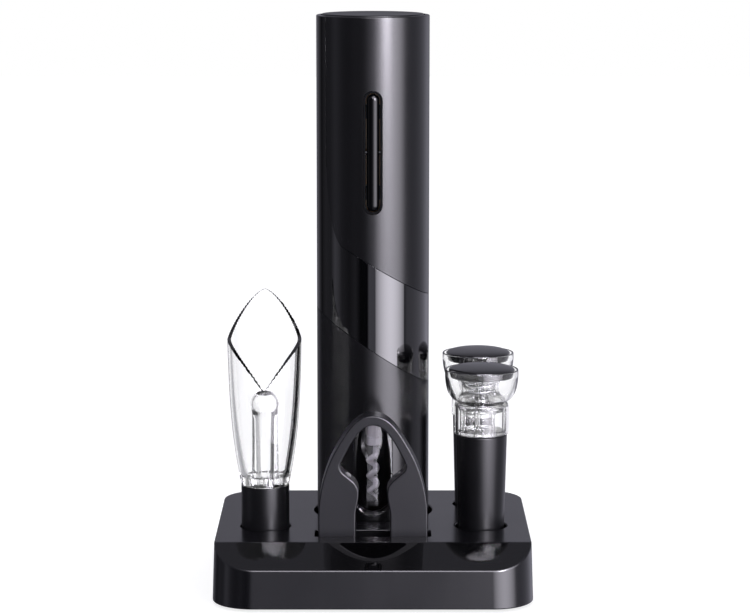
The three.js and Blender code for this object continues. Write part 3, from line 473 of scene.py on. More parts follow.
def round_off(corners: Sequence[Pair], radius: float, steps: int = 4) -> list[Pair]:
    """Rounds the corners of an open line of points, its two ends left alone.

    Args:
        corners: the points of the line.
        radius: how far from each corner the rounding starts, in millimetres.
        steps: how many lengths each rounding has.

    Returns:
        The points of the rounded line.
    """
    line = [corners[0]]
    for before, corner, after in zip(corners, corners[1:], corners[2:]):
        mid = Vector(corner)
        to_before, to_after = Vector(before) - mid, Vector(after) - mid
        reach = min(radius, to_before.length / 2.1, to_after.length / 2.1)
        first = mid + to_before.normalized() * reach
        last = mid + to_after.normalized() * reach
        for i in range(steps + 1):
            t = i / steps
            point = first * (1 - t) ** 2 + mid * 2 * t * (1 - t) + last * t * t
            line.append((point.x, point.y))
    line.append(corners[-1])
    return line


# ---------------------------------------------------------------- finishes
class Bench:
    """Places and joins the nodes of one material or group."""

    def __init__(self, tree: Tree) -> None:
        """Takes the tree that is worked on."""
        self.tree = tree

    def add(
        self, kind: str, inputs: dict[str | int, object] | None = None, **settings: object,
    ) -> Node:
        """Adds a node, sets its settings and fills or joins its inputs.

        Args:
            kind: the node's type without the leading ShaderNode.
            inputs: plain values, or output sockets to join, by input name or number.
            settings: the node's own settings.

        Returns:
            The new node.
        """
        node = self.tree.nodes.new(kind if kind.startswith("Node") else f"ShaderNode{kind}")
        for key, value in settings.items():
            setattr(node, key, value)
        for key, value in (inputs or {}).items():
            if isinstance(value, Socket):
                self.tree.links.new(value, node.inputs[key])
            else:
                node.inputs[key].default_value = value
        return node

    def math(self, operation: str, *values: object) -> Socket:
        """Adds a math node and returns its result."""
        return self.add("Math", dict(enumerate(values)), operation=operation).outputs[0]

    def join(self, source: Socket, target: Socket) -> None:
        """Joins an output to an input."""
        self.tree.links.new(source, target)

    def noise(self, place: Socket, scale: object, detail: float, distortion: float = 0.0) -> Socket:
        """Adds a noise texture and returns its value."""
        inputs = {"Vector": place, "Scale": scale, "Detail": detail, "Distortion": distortion}
        return self.add("TexNoise", inputs).outputs["Fac"]

    def between(
        self, value: Socket, low: object, high: object, start: float = 0.0, end: float = 1.0,
    ) -> Socket:
        """Spreads what lies between start and end over low to high and returns the result."""
        inputs = {"Value": value, "From Min": start, "From Max": end, "To Min": low, "To Max": high}
        return self.add("MapRange", inputs).outputs["Result"]

    def blend(self, share: object, first: object, second: object, kind: str = "MIX") -> Socket:
        """Mixes two colours and returns the result."""
        first, second = ((*c, 1.0) if isinstance(c, tuple) else c for c in (first, second))
        inputs = {"Factor": share, 6: first, 7: second}
        return self.add("Mix", inputs, data_type="RGBA", blend_type=kind).outputs[2]


def new_group(
    name: str, inputs: dict[str, tuple[str, object]], outputs: Iterable[str],
) -> tuple[Bench, Node, Node]:
    """Starts a shader node group with named inputs and outputs.

    Args:
        name: the group's name.
        inputs: the kind of socket and the value that each input starts with.
        outputs: the names of its number outputs.

    Returns:
        A bench on the group, its input node and its output node.
    """
    tree = bpy.data.node_groups.new(name, "ShaderNodeTree")
    for key, (kind, value) in inputs.items():
        socket = tree.interface.new_socket(key, in_out="INPUT", socket_type=f"NodeSocket{kind}")
        if value is not None:
            socket.default_value = value
    for key in outputs:
        tree.interface.new_socket(key, in_out="OUTPUT", socket_type="NodeSocketFloat")
    bench = Bench(tree)
    return bench, bench.add("NodeGroupInput"), bench.add("NodeGroupOutput")


class Effects:
    """The node groups that several finishes share, each built once."""

    def __init__(self) -> None:
        """Builds the groups."""
        self.grain = self.build_grain()
        self.edge_highlight = self.build_edge_highlight()
        self.marks = self.build_marks()
        self.dust = self.build_dust()

    @staticmethod
    def build_grain() -> Tree:
        """Fine spark-eroded grain with a slow drift of tone."""
        bench, entry, leave = new_group(
            "moulded_grain", {"Vector": ("Vector", None), "Scale": ("Float", 900.0)}, ("Height", "Tone"),
        )
        place, scale = entry.outputs["Vector"], entry.outputs["Scale"]
        fine = bench.noise(place, scale, 3.0)
        pits = bench.add("TexVoronoi", {"Vector": place, "Scale": scale})
        height = bench.math("MULTIPLY_ADD", pits.outputs["Distance"], 0.6, fine)
        slow = bench.noise(place, 34.0, 4.0)
        bench.join(height, leave.inputs["Height"])
        bench.join(slow, leave.inputs["Tone"])
        return bench.tree

    @staticmethod
    def build_edge_highlight() -> Tree:
        """A mask of the sharp edges, on which a lighter tone is painted as an edge highlight."""
        bench, entry, leave = new_group(
            "painted_edge_highlight",
            {"Vector": ("Vector", None), "Radius": ("Float", 0.0006), "Amount": ("Float", 1.0)}, ("Mask",),
        )
        bevel = bench.add("Bevel", {"Radius": entry.outputs["Radius"]}, samples=4)
        normals = {0: bevel.outputs["Normal"], 1: bench.add("NewGeometry").outputs["Normal"]}
        facing = bench.add("VectorMath", normals, operation="DOT_PRODUCT")
        bent = bench.math("SUBTRACT", 1.0, facing.outputs["Value"])
        patchy = bench.between(bench.noise(entry.outputs["Vector"], 260.0, 4.0), 0.3, 2.2)
        mask = bench.math("MULTIPLY", bent, patchy)
        amounts = {0: mask, 1: entry.outputs["Amount"]}
        scaled = bench.add("Math", amounts, operation="MULTIPLY", use_clamp=True)
        bench.join(scaled.outputs[0], leave.inputs["Mask"])
        return bench.tree

    @staticmethod
    def build_marks() -> Tree:
        """Roughness that drifts with wiping marks and faint hairlines."""
        bench, entry, leave = new_group(
            "wiping_marks",
            {"Vector": ("Vector", None), "Low": ("Float", 0.1), "High": ("Float", 0.2)}, ("Roughness",),
        )
        stretch = bench.add("Mapping", {"Vector": entry.outputs["Vector"], "Scale": (60.0, 60.0, 9.0)})
        wipes = bench.noise(stretch.outputs["Vector"], 1.0, 5.0, 0.6)
        cloud = bench.noise(entry.outputs["Vector"], 55.0, 2.0)
        both = bench.math("MULTIPLY_ADD", cloud, 0.5, wipes)
        rough = bench.between(both, entry.outputs["Low"], entry.outputs["High"], 0.45, 1.05)
        bench.join(rough, leave.inputs["Roughness"])
        return bench.tree

    @staticmethod
    def build_dust() -> Tree:
        """A mask of the little dust that lies on faces that look up."""
        bench, entry, leave = new_group(
            "settled_dust", {"Vector": ("Vector", None), "Amount": ("Float", 0.05)}, ("Mask",),
        )
        surface = bench.add("NewGeometry")
        split = bench.add("SeparateXYZ", {"Vector": surface.outputs["Normal"]})
        up = bench.between(split.outputs["Z"], 0.0, 1.0, 0.5, 1.0)
        specks = bench.noise(entry.outputs["Vector"], 1500.0, 2.0)
        sparse = bench.between(specks, 0.0, 1.0, 0.52, 0.75)
        lying = bench.math("MULTIPLY", up, sparse)
        scaled = bench.math("MULTIPLY", lying, entry.outputs["Amount"])
        bench.join(scaled, leave.inputs["Mask"])
        return bench.tree


@dataclass(frozen=True)
class Finish:
    """An opaque finish: a base tone with drift, grain, a painted highlight on its sharp edges, and dust."""

    name: str
    colour: Colour
    drift: Colour
    # the lighter tone painted on sharp edges as a highlight
    edge_highlight_colour: Colour
    roughness: Pair
    metallic: float = 0.0
    grain: float = 900.0
    grain_height: float = 0.02
    # how strongly the edge highlight is painted
    edge_highlight_amount: float = 1.0
    dust: float = 0.03
    coat: float = 0.0
    coat_roughness: float = 0.05
    specular: float = 0.5
    sheen: float = 0.0

    def begin(self) -> tuple[Bench, Socket, Node]:
        """Starts the material.

        Returns:
            A bench on it, its Object coordinates and its shader.
        """
        material = bpy.data.materials.new(self.name)
        material.use_nodes = True
        material.node_tree.nodes.clear()
        bench = Bench(material.node_tree)
        place = bench.add("TexCoord").outputs["Object"]
        shader = bench.add("BsdfPrincipled", {
            "Metallic": self.metallic, "Coat Weight": self.coat, "Coat Roughness": self.coat_roughness,
            "Specular IOR Level": self.specular, "Sheen Weight": self.sheen,
        })
        bench.add("OutputMaterial", {"Surface": shader.outputs["BSDF"]})
        return bench, place, shader

    def group(self, bench: Bench, tree: Tree, **inputs: object) -> Node:
        """Places a shared effect in the material and fills its inputs."""
        return bench.add("Group", inputs, node_tree=tree)

    def tone(self, bench: Bench, place: Socket, share: Socket) -> Socket:
        """The colour before the painted edge highlight and the dust, which special finishes draw on."""
        return bench.blend(share, self.colour, self.drift)

    def gloss(self, bench: Bench, place: Socket, effects: Effects) -> Socket:
        """The roughness, which special finishes shape."""
        low, high = self.roughness
        return self.group(bench, effects.marks, Vector=place, Low=low, High=high).outputs["Roughness"]

    def relief(self, bench: Bench, place: Socket, grain: Node) -> Socket:
        """The height that the bump reads, which special finishes draw on."""
        return grain.outputs["Height"]

    def build(self, effects: Effects) -> bpy.types.Material:
        """Builds the material.

        Args:
            effects: the node groups that it shares.

        Returns:
            The finished material.
        """
        bench, place, shader = self.begin()
        grain = self.group(bench, effects.grain, Vector=place, Scale=self.grain)
        edge_highlight_amount = self.group(bench, effects.edge_highlight, Vector=place, Amount=self.edge_highlight_amount)
        dust = self.group(bench, effects.dust, Vector=place, Amount=self.dust)
        base = self.tone(bench, place, grain.outputs["Tone"])
        # painted highlight: sharp edges take the lighter tone
        highlighted_tone = bench.blend(edge_highlight_amount.outputs["Mask"], base, self.edge_highlight_colour)
        dusty = bench.blend(dust.outputs["Mask"], highlighted_tone, (0.35, 0.34, 0.33))
        rough = self.gloss(bench, place, effects)
        dulled = bench.math("MULTIPLY_ADD", dust.outputs["Mask"], 0.5, rough)
        bump = bench.add("Bump", {
            "Height": self.relief(bench, place, grain), "Strength": 1.0, "Distance": self.grain_height * MM,
        })
        for socket, key in ((dusty, "Base Color"), (dulled, "Roughness"), (bump.outputs["Normal"], "Normal")):
            bench.join(socket, shader.inputs[key])
        return bpy.data.materials[self.name]


@dataclass(frozen=True)
class ClearFinish(Finish):
    """Clear or smoked plastic that light passes through."""

    ior: float = 1.49

    def build(self, effects: Effects) -> bpy.types.Material:
        """Builds the clear material with faint flow marks and wiping marks.

        Args:
            effects: the node groups that it shares.

        Returns:
            The finished material.
        """
        bench, place, shader = self.begin()
        shader.inputs["Transmission Weight"].default_value = 1.0
        shader.inputs["IOR"].default_value = self.ior
        grain = self.group(bench, effects.grain, Vector=place, Scale=self.grain)
        dust = self.group(bench, effects.dust, Vector=place, Amount=self.dust)
        base = self.tone(bench, place, grain.outputs["Tone"])
        dusty = bench.blend(dust.outputs["Mask"], base, (0.6, 0.6, 0.6))
        rough = self.gloss(bench, place, effects)
        bump = bench.add("Bump", {
            "Height": bench.noise(place, 45.0, 1.0), "Strength": 1.0, "Distance": self.grain_height * MM,
        })
        for socket, key in ((dusty, "Base Color"), (rough, "Roughness"), (bump.outputs["Normal"], "Normal")):
            bench.join(socket, shader.inputs[key])
        return bpy.data.materials[self.name]


@dataclass(frozen=True)
class TrayFinish(Finish):
    """The tray's plastic: satin on the deck and the sides, polished on the slope, whose black is made deeper
    as painted shade.
    """

    polish: Pair = (0.006, 0.018)
    # a deeper black on the slope: painted shade, standing in for the dark that the slope reflects
    slope_painted_shade: Colour = (0.0022, 0.0022, 0.0026)
    lean: float = 28.2
    spread: float = 0.02

    def on_slope(self, bench: Bench) -> Socket:
        """A mask of the faces that lean forwards as the slope does."""
        split = bench.add("SeparateXYZ", {"Vector": bench.add("NewGeometry").outputs["True Normal"]})
        off = bench.math("ABSOLUTE", bench.math("SUBTRACT", split.outputs["Z"], cos(radians(self.lean))))
        ahead = bench.math("LESS_THAN", split.outputs["Y"], -0.2)
        return bench.math("MULTIPLY", bench.math("LESS_THAN", off, self.spread), ahead)

    def tone(self, bench: Bench, place: Socket, share: Socket) -> Socket:
        """The satin's tone, with a deeper black painted on the slope as shade."""
        # painted shade: the faces that lean as the slope does take the deeper black
        return bench.blend(self.on_slope(bench), bench.blend(share, self.colour, self.drift), self.slope_painted_shade)

    def gloss(self, bench: Bench, place: Socket, effects: Effects) -> Socket:
        """Satin all round and polished on the slope.

        Args:
            bench: the material's bench.
            place: the material's coordinates.
            effects: the node groups that it shares.

        Returns:
            The roughness.
        """
        satin = super().gloss(bench, place, effects)
        low, high = self.polish
        polished = self.group(bench, effects.marks, Vector=place, Low=low, High=high).outputs["Roughness"]
        mix = bench.add("Mix", {"Factor": self.on_slope(bench), 2: satin, 3: polished}, data_type="FLOAT")
        return mix.outputs[0]


@dataclass(frozen=True)
class TurnedFinish(Finish):
    """Metal with the fine rings that the lathe or the wheel leaves."""

    ring_scale: float = 2600.0

    def relief(self, bench: Bench, place: Socket, grain: Node) -> Socket:
        """Grain crossed with fine rings along the height."""
        rings = bench.add("TexWave", {
            "Vector": place, "Scale": self.ring_scale, "Distortion": 1.5, "Detail": 2.0,
        }, bands_direction="Z")
        return bench.math("MULTIPLY_ADD", rings.outputs["Fac"], 0.5, grain.outputs["Height"])


@dataclass(frozen=True)
class BoardFinish(Finish):
    """A circuit board: green lacquer over copper tracks."""

    copper: Colour = (0.32, 0.17, 0.06)

    def tone(self, bench: Bench, place: Socket, share: Socket) -> Socket:
        """Lacquer with the paler tracks showing through.

        Args:
            bench: the material's bench.
            place: the material's coordinates.
            share: how far the tone has drifted.

        Returns:
            The colour.
        """
        cells = bench.add("TexBrick", {
            "Vector": place, "Scale": 420.0, "Mortar Size": 0.09,
            "Color1": (0, 0, 0, 1), "Color2": (0, 0, 0, 1), "Mortar": (1, 1, 1, 1),
        })
        lacquer = bench.blend(share, self.colour, self.drift)
        return bench.blend(cells.outputs["Fac"], lacquer, self.copper)


@dataclass(frozen=True)
class WrapFinish(Finish):
    """The shrink sleeve of a cell: a glossy film with fine wrinkles at its ends."""

    def relief(self, bench: Bench, place: Socket, grain: Node) -> Socket:
        """Film wrinkles that run round the cell."""
        squash = bench.add("Mapping", {"Vector": place, "Scale": (60.0, 60.0, 700.0)})
        wrinkles = bench.noise(squash.outputs["Vector"], 1.0, 3.0)
        return bench.math("MULTIPLY_ADD", wrinkles, 2.0, grain.outputs["Height"])


FINISHES = {
    Slot.STAND: TrayFinish(
        "tray_black", (0.0045, 0.0044, 0.0058), (0.0065, 0.0063, 0.0082), (0.05, 0.05, 0.055),
        (0.17, 0.22), grain=1400.0, grain_height=0.0006, edge_highlight_amount=0.5, dust=0.02, specular=0.36,
    ),
    Slot.SATIN: Finish(
        "satin_lacquer", (0.0030, 0.0030, 0.0040), (0.0042, 0.0042, 0.0054), (0.03, 0.03, 0.034),
        (0.23, 0.28), grain=2200.0, grain_height=0.0012, edge_highlight_amount=0.6, dust=0.02, specular=0.29,
    ),
    Slot.GLOSS: Finish(
        "piano_black", (0.0012, 0.0012, 0.0016), (0.0018, 0.0018, 0.0023), (0.02, 0.02, 0.022),
        (0.015, 0.04), grain=300.0, grain_height=0.0002, edge_highlight_amount=0.4, dust=0.02, specular=0.6,
    ),
    Slot.BLACK: Finish(
        "moulded_black", (0.0045, 0.0045, 0.0056), (0.0075, 0.0075, 0.009), (0.05, 0.05, 0.055),
        (0.28, 0.36), grain=1100.0, grain_height=0.002, edge_highlight_amount=0.4, dust=0.02, specular=0.16,
    ),
    Slot.GREY: Finish(
        "soft_grey", (0.0085, 0.0083, 0.0110), (0.0120, 0.0118, 0.0150), (0.08, 0.08, 0.09),
        (0.27, 0.33), grain=1500.0, grain_height=0.0015, edge_highlight_amount=0.35, dust=0.02, specular=0.25,
    ),
    Slot.RUBBER: Finish(
        "soft_rubber", (0.0030, 0.0030, 0.0040), (0.0052, 0.0052, 0.0066), (0.05, 0.05, 0.052),
        (0.28, 0.36), grain=1300.0, grain_height=0.002, edge_highlight_amount=0.4, dust=0.02, specular=0.19,
    ),
    Slot.STEEL: TurnedFinish(
        "polished_steel", (0.82, 0.82, 0.84), (0.70, 0.70, 0.73), (0.92, 0.92, 0.93),
        (0.26, 0.4), metallic=1.0, grain=1600.0, grain_height=0.002, edge_highlight_amount=0.5, dust=0.0,
    ),
    Slot.ZINC: TurnedFinish(
        "zinc_plate", (0.42, 0.43, 0.44), (0.33, 0.34, 0.37), (0.6, 0.6, 0.6),
        (0.3, 0.45), metallic=1.0, grain=1200.0, grain_height=0.002, edge_highlight_amount=0.8, dust=0.01,
    ),
    Slot.BRASS: TurnedFinish(
        "turned_brass", (0.60, 0.42, 0.16), (0.45, 0.30, 0.11), (0.8, 0.62, 0.3),
        (0.22, 0.36), metallic=1.0, grain=1300.0, grain_height=0.001, edge_highlight_amount=0.8, dust=0.0,
    ),
    Slot.NYLON: Finish(
        "gear_nylon", (0.62, 0.60, 0.54), (0.54, 0.51, 0.44), (0.75, 0.74, 0.7),
        (0.35, 0.5), grain=800.0, grain_height=0.003, edge_highlight_amount=0.8, dust=0.02,
    ),
    Slot.CIRCUIT: BoardFinish(
        "board_green", (0.012, 0.10, 0.035), (0.02, 0.14, 0.05), (0.25, 0.2, 0.1),
        (0.2, 0.3), grain=700.0, grain_height=0.002, edge_highlight_amount=0.8, dust=0.02,
    ),
    Slot.WRAP: WrapFinish(
        "cell_sleeve", (0.02, 0.12, 0.30), (0.03, 0.15, 0.36), (0.3, 0.35, 0.4),
        (0.12, 0.22), grain=500.0, grain_height=0.006, edge_highlight_amount=0.6, dust=0.01,
    ),
    Slot.CLEAR: ClearFinish(
        "clear_plastic", (0.998, 0.998, 0.998), (0.99, 0.99, 0.99), (1.0, 1.0, 1.0),
        (0.0, 0.02), grain=400.0, grain_height=0.01, dust=0.0,
    ),
    Slot.SMOKED: ClearFinish(
        "smoked_plastic", (0.93, 0.91, 0.94), (0.89, 0.87, 0.90), (1.0, 1.0, 1.0),
        (0.01, 0.04), grain=400.0, grain_height=0.004, dust=0.0, specular=0.04,
    ),
}


class Special(Enum):
    """Finishes of single pieces, which stand beside the one of their slot."""

    # the wheels' near-black is painted shade, so that they stay dark in the slot between the cutter's halves
    WHEEL = "wheel_painted_shade"
    ROCKER = "dull_black"
    WORM = "coated_worm"


SPECIALS = {
    # painted shade: a near-black copy of the steel, so that the wheels stay dark in the cutter's slot
    Special.WHEEL: TurnedFinish(
        "wheel_painted_shade", (0.010, 0.010, 0.012), (0.018, 0.018, 0.020), (0.10, 0.10, 0.105),
        (0.35, 0.5), grain=1600.0, grain_height=0.002, edge_highlight_amount=0.5, dust=0.0, specular=0.25,
    ),
    Special.ROCKER: Finish(
        "dull_black", (0.0012, 0.0012, 0.0016), (0.0018, 0.0018, 0.0023), (0.02, 0.02, 0.022),
        (0.05, 0.1), grain=1200.0, grain_height=0.0004, edge_highlight_amount=0.2, dust=0.01, specular=0.18,
    ),
    Special.WORM: TurnedFinish(
        "coated_worm", (0.42, 0.41, 0.44), (0.52, 0.51, 0.54), (0.7, 0.7, 0.72),
        (0.26, 0.4), grain=1500.0, grain_height=0.006, edge_highlight_amount=0.6, dust=0.0, specular=0.35,
    ),
}


class PaintShop:
    """Dresses pieces in the finishes, each material built once."""

    def __init__(self) -> None:
        """Builds the shared effects and every material."""
        effects = Effects()
        self.materials = {slot: finish.build(effects) for slot, finish in FINISHES.items()}
        self.specials = {special: finish.build(effects) for special, finish in SPECIALS.items()}

    def dress(
        self, piece: Piece, slot: Slot, body: str, *nodes: str, special: Special | None = None,
    ) -> Piece:
        """Gives a new piece its finish, its body and the CAD nodes that it stands for.

        Args:
            piece: the finished piece.
            slot: its finish.
            body: the body that it rides on.
            nodes: the CAD nodes that it replaces.
            special: a finish of its own, in place of the slot's.

        Returns:
            The same piece.
        """
        piece.data.materials.clear()
        piece.data.materials.append(self.specials[special] if special else self.materials[slot])
        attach(piece, body)
        if nodes:
            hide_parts(*nodes)
        log.info("%s: %d faces, %s", piece.name, len(piece.data.polygons), slot.value)
        return piece

    def dress_rest(self) -> None:
        """Gives each CAD node that still shows the finish of its own material slot."""
        for name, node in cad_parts.items():
            if node.hide_render:
                continue
            slot = Slot(node.data.materials[0].name)
            node.data.materials.clear()
            node.data.materials.append(self.materials[slot])
            log.info("%s: CAD mesh, %s", name, slot.value)


# ---------------------------------------------------------------- places
def corners(node: str) -> tuple[Vector, Vector]:
    """The lowest and highest corners of a CAD node, in millimetres."""
    low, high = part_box(node)
    return low / MM, high / MM


def middle(node: str) -> Vector:
    """The middle of a CAD node's box, in millimetres."""
    low, high = corners(node)
    return (low + high) / 2


def axis_of(node: str) -> Vector:
    """The upright axis through a CAD node's middle, in millimetres."""
    place = middle(node)
    return Vector((place.x, place.y, 0))


# ---------------------------------------------------------------- the tray
@dataclass
class Tray:
    """The moulded tray with its deck, polished slope, four sockets and the cutter's pocket."""

    shop: PaintShop
    width: float = 131.0
    depth: float = 114.0
    corner: float = 17.0
    draft: float = 0.8
    slope_angle: float = 28.2
    slope_length: float = 15.4
    wall: float = 2.2
    deck_wall: float = 2.4
    cup_wall: float = 1.8
    cup_depth: float = 16.5
    cup_floor: float = 2.0
    cup_lip: float = 0.7
    pocket_slack: Pair = (1.5, 0.3)
    pocket_floor: float = 17.0
    pocket_lip: float = 0.15
    edge: float = 0.7
    boss_radius: float = 3.2
    boss_hole: float = 1.4
    boss_top: float = 12.6
    plate_gap: float = 0.3
    opener_cup: float = 25.5
    pourer_cup: float = 10.7
    stopper_cup: float = 10.8
    corner_steps: int = 24
    pocket_corner: float = 1.0
    foot_rise: float = 0.25
    foot_chamfer: float = 0.5

    def __post_init__(self) -> None:
        """Reads the deck's height and the sockets' places from the frame."""
        low, high = corners("stand_shell")
        self.bottom, self.deck = low.z, high.z
        self.cups = [
            (axis_of("top_cap"), self.opener_cup),
            (axis_of("pourer_collar"), self.pourer_cup),
            (axis_of("stopper_front_plug"), self.stopper_cup),
            (axis_of("stopper_rear_plug"), self.stopper_cup),
        ]

    def block(self, name: str, inset: float, bottom: float, top: float) -> Piece:
        """The tray's drafted block with rounded corners and its front sloped down.

        Args:
            name: the piece's name.
            inset: how far it is moved inwards.
            bottom: its underside.
            top: its upper side.

        Returns:
            The block.
        """
        half = Vector((self.width / 2 - inset, self.depth / 2 - inset))
        piece = block(name, (-half.x, -half.y, bottom), (half.x, half.y, top))
        pick_edges(piece, upright)
        bpy.ops.mesh.bevel(offset=(self.corner - inset) * MM, segments=self.corner_steps, affect="EDGES")
        bpy.ops.object.mode_set(mode="OBJECT")
        pick_vertices(piece, lambda v: v.z < (bottom + top) / 2)
        spread = [1 + self.draft * (top - bottom) / (self.deck - self.bottom) / side for side in half]
        bpy.ops.transform.resize(value=(*spread, 1), center_override=(0, 0, 0))
        bpy.ops.mesh.select_all(action="SELECT")
        lean = radians(self.slope_angle)
        crease = Vector((0, self.slope_length - self.depth / 2, self.deck - inset / cos(lean)))
        bpy.ops.mesh.bisect(
            plane_co=crease * MM, plane_no=(0, -sin(lean), cos(lean)), use_fill=True, clear_outer=True,
        )
        close_up()
        return piece

    def build(self) -> None:
        """Builds the shell and the feet."""
        shell = self.block("tray_shell", 0, self.bottom, self.deck)
        soften(shell, self.edge, 4, 20.0)
        screws = [axis_of(f"stand_screw_{place}") for place in CORNERS]
        shape_with(shell, self.hollow(screws))
        for place in screws:
            shape_with(shell, rod("bore", self.boss_hole, 0, self.boss_top, place, 24))
        floor, lip = self.deck - self.cup_depth, self.cup_lip
        for place, radius in self.cups:
            bore = turned("bore", [
                (0, floor), (radius, floor), (radius, self.deck - lip),
                *arc((radius + lip, self.deck - lip), lip, HALF_TURN, QUARTER_TURN, 5)[1:],
                (radius + lip, self.deck + OVERSHOOT), (0, self.deck + OVERSHOOT),
            ], place, 160)
            shape_with(shell, bore)
        shape_with(shell, self.pocket())
        even_shading(shell)
        self.shop.dress(shell, Slot.STAND, Body.STAND.value, "stand_shell")
        self.build_feet()

    def pocket_room(self) -> tuple[Vector, Vector]:
        """The lowest and highest corners of the cutter's pocket."""
        low, high = corners("cutter_front_half")[0], corners("cutter_rear_half")[1]
        slack_x, slack_y = self.pocket_slack
        return (
            Vector((low.x - slack_x, low.y - slack_y, self.pocket_floor)),
            Vector((high.x + slack_x, high.y + slack_y, self.deck + OVERSHOOT)),
        )

    def hollow(self, screws: Sequence[Vector]) -> Piece:
        """The room under the deck, less the walls of the sockets, the pocket and the screw bosses.

        Args:
            screws: the axes of the bosses.

        Returns:
            The room.
        """
        hollow = self.block("hollow", self.wall, self.bottom - OVERSHOOT, self.deck - self.deck_wall)
        bottom = self.deck - self.cup_depth - self.cup_floor
        for place, radius in self.cups:
            shape_with(hollow, rod("cup", radius + self.cup_wall, bottom, self.deck, place, 96))
        low, high = self.pocket_room()
        wall = Vector((self.cup_wall, self.cup_wall, self.cup_floor))
        shape_with(hollow, block("pocket_wall", low - wall, high + wall))
        for place in screws:
            shape_with(hollow, rod("boss", self.boss_radius, self.plate_top(), self.deck, place, 32))
        return hollow

    def pocket(self) -> Piece:
        """The pocket's room, its mouth flared in two steps."""
        low, high = self.pocket_room()
        pocket = block("pocket", low, high)
        pick_edges(pocket, upright)
        bpy.ops.mesh.bevel(offset=self.pocket_corner * MM, segments=6, affect="EDGES")
        close_up()
        pick_faces(pocket, lambda c, n: n.z > FACING)
        bpy.ops.transform.translate(value=(0, 0, -(OVERSHOOT + self.pocket_lip) * MM))
        rise = (0, 0, self.pocket_lip / 2 * MM)
        for lean in (0.3, 0.7):
            bpy.ops.mesh.extrude_region_move(TRANSFORM_OT_translate={"value": rise})
            spread = [1 + 2 * lean * self.pocket_lip / (b - a) for a, b in zip(low[:2], high[:2])]
            bpy.ops.transform.resize(value=(*spread, 1), center_override=(low + high) / 2 * MM)
        bpy.ops.mesh.extrude_region_move(TRANSFORM_OT_translate={"value": (0, 0, OVERSHOOT * MM)})
        close_up()
        return pocket

    def plate_top(self) -> float:
        """The height just above the bottom plate."""
        return corners("stand_bottom_plate")[1].z + self.plate_gap

    def build_feet(self) -> None:
        """Turns one foot with a soft rim and a gripping ring, and copies it to the corners."""
        low, high = corners(f"foot_{CORNERS[0]}")
        radius = (high.x - low.x) / 2
        first = axis_of(f"foot_{CORNERS[0]}")
        profile = round_off([
            (0, low.z + self.foot_rise), (radius * 0.55, low.z + self.foot_rise), (radius * 0.6, low.z),
            (radius * 0.94, low.z), (radius, low.z + self.foot_chamfer), (radius, high.z), (0, high.z),
        ], 0.3)
        foot = turned(f"tray_foot_{CORNERS[0]}", profile, first, 64)
        feet = [foot] + [
            copied(foot, f"tray_foot_{name}", axis_of(f"foot_{name}") - first) for name in CORNERS[1:]
        ]
        for name, piece in zip(CORNERS, feet):
            self.shop.dress(piece, Slot.RUBBER, Body.STAND.value, f"foot_{name}")


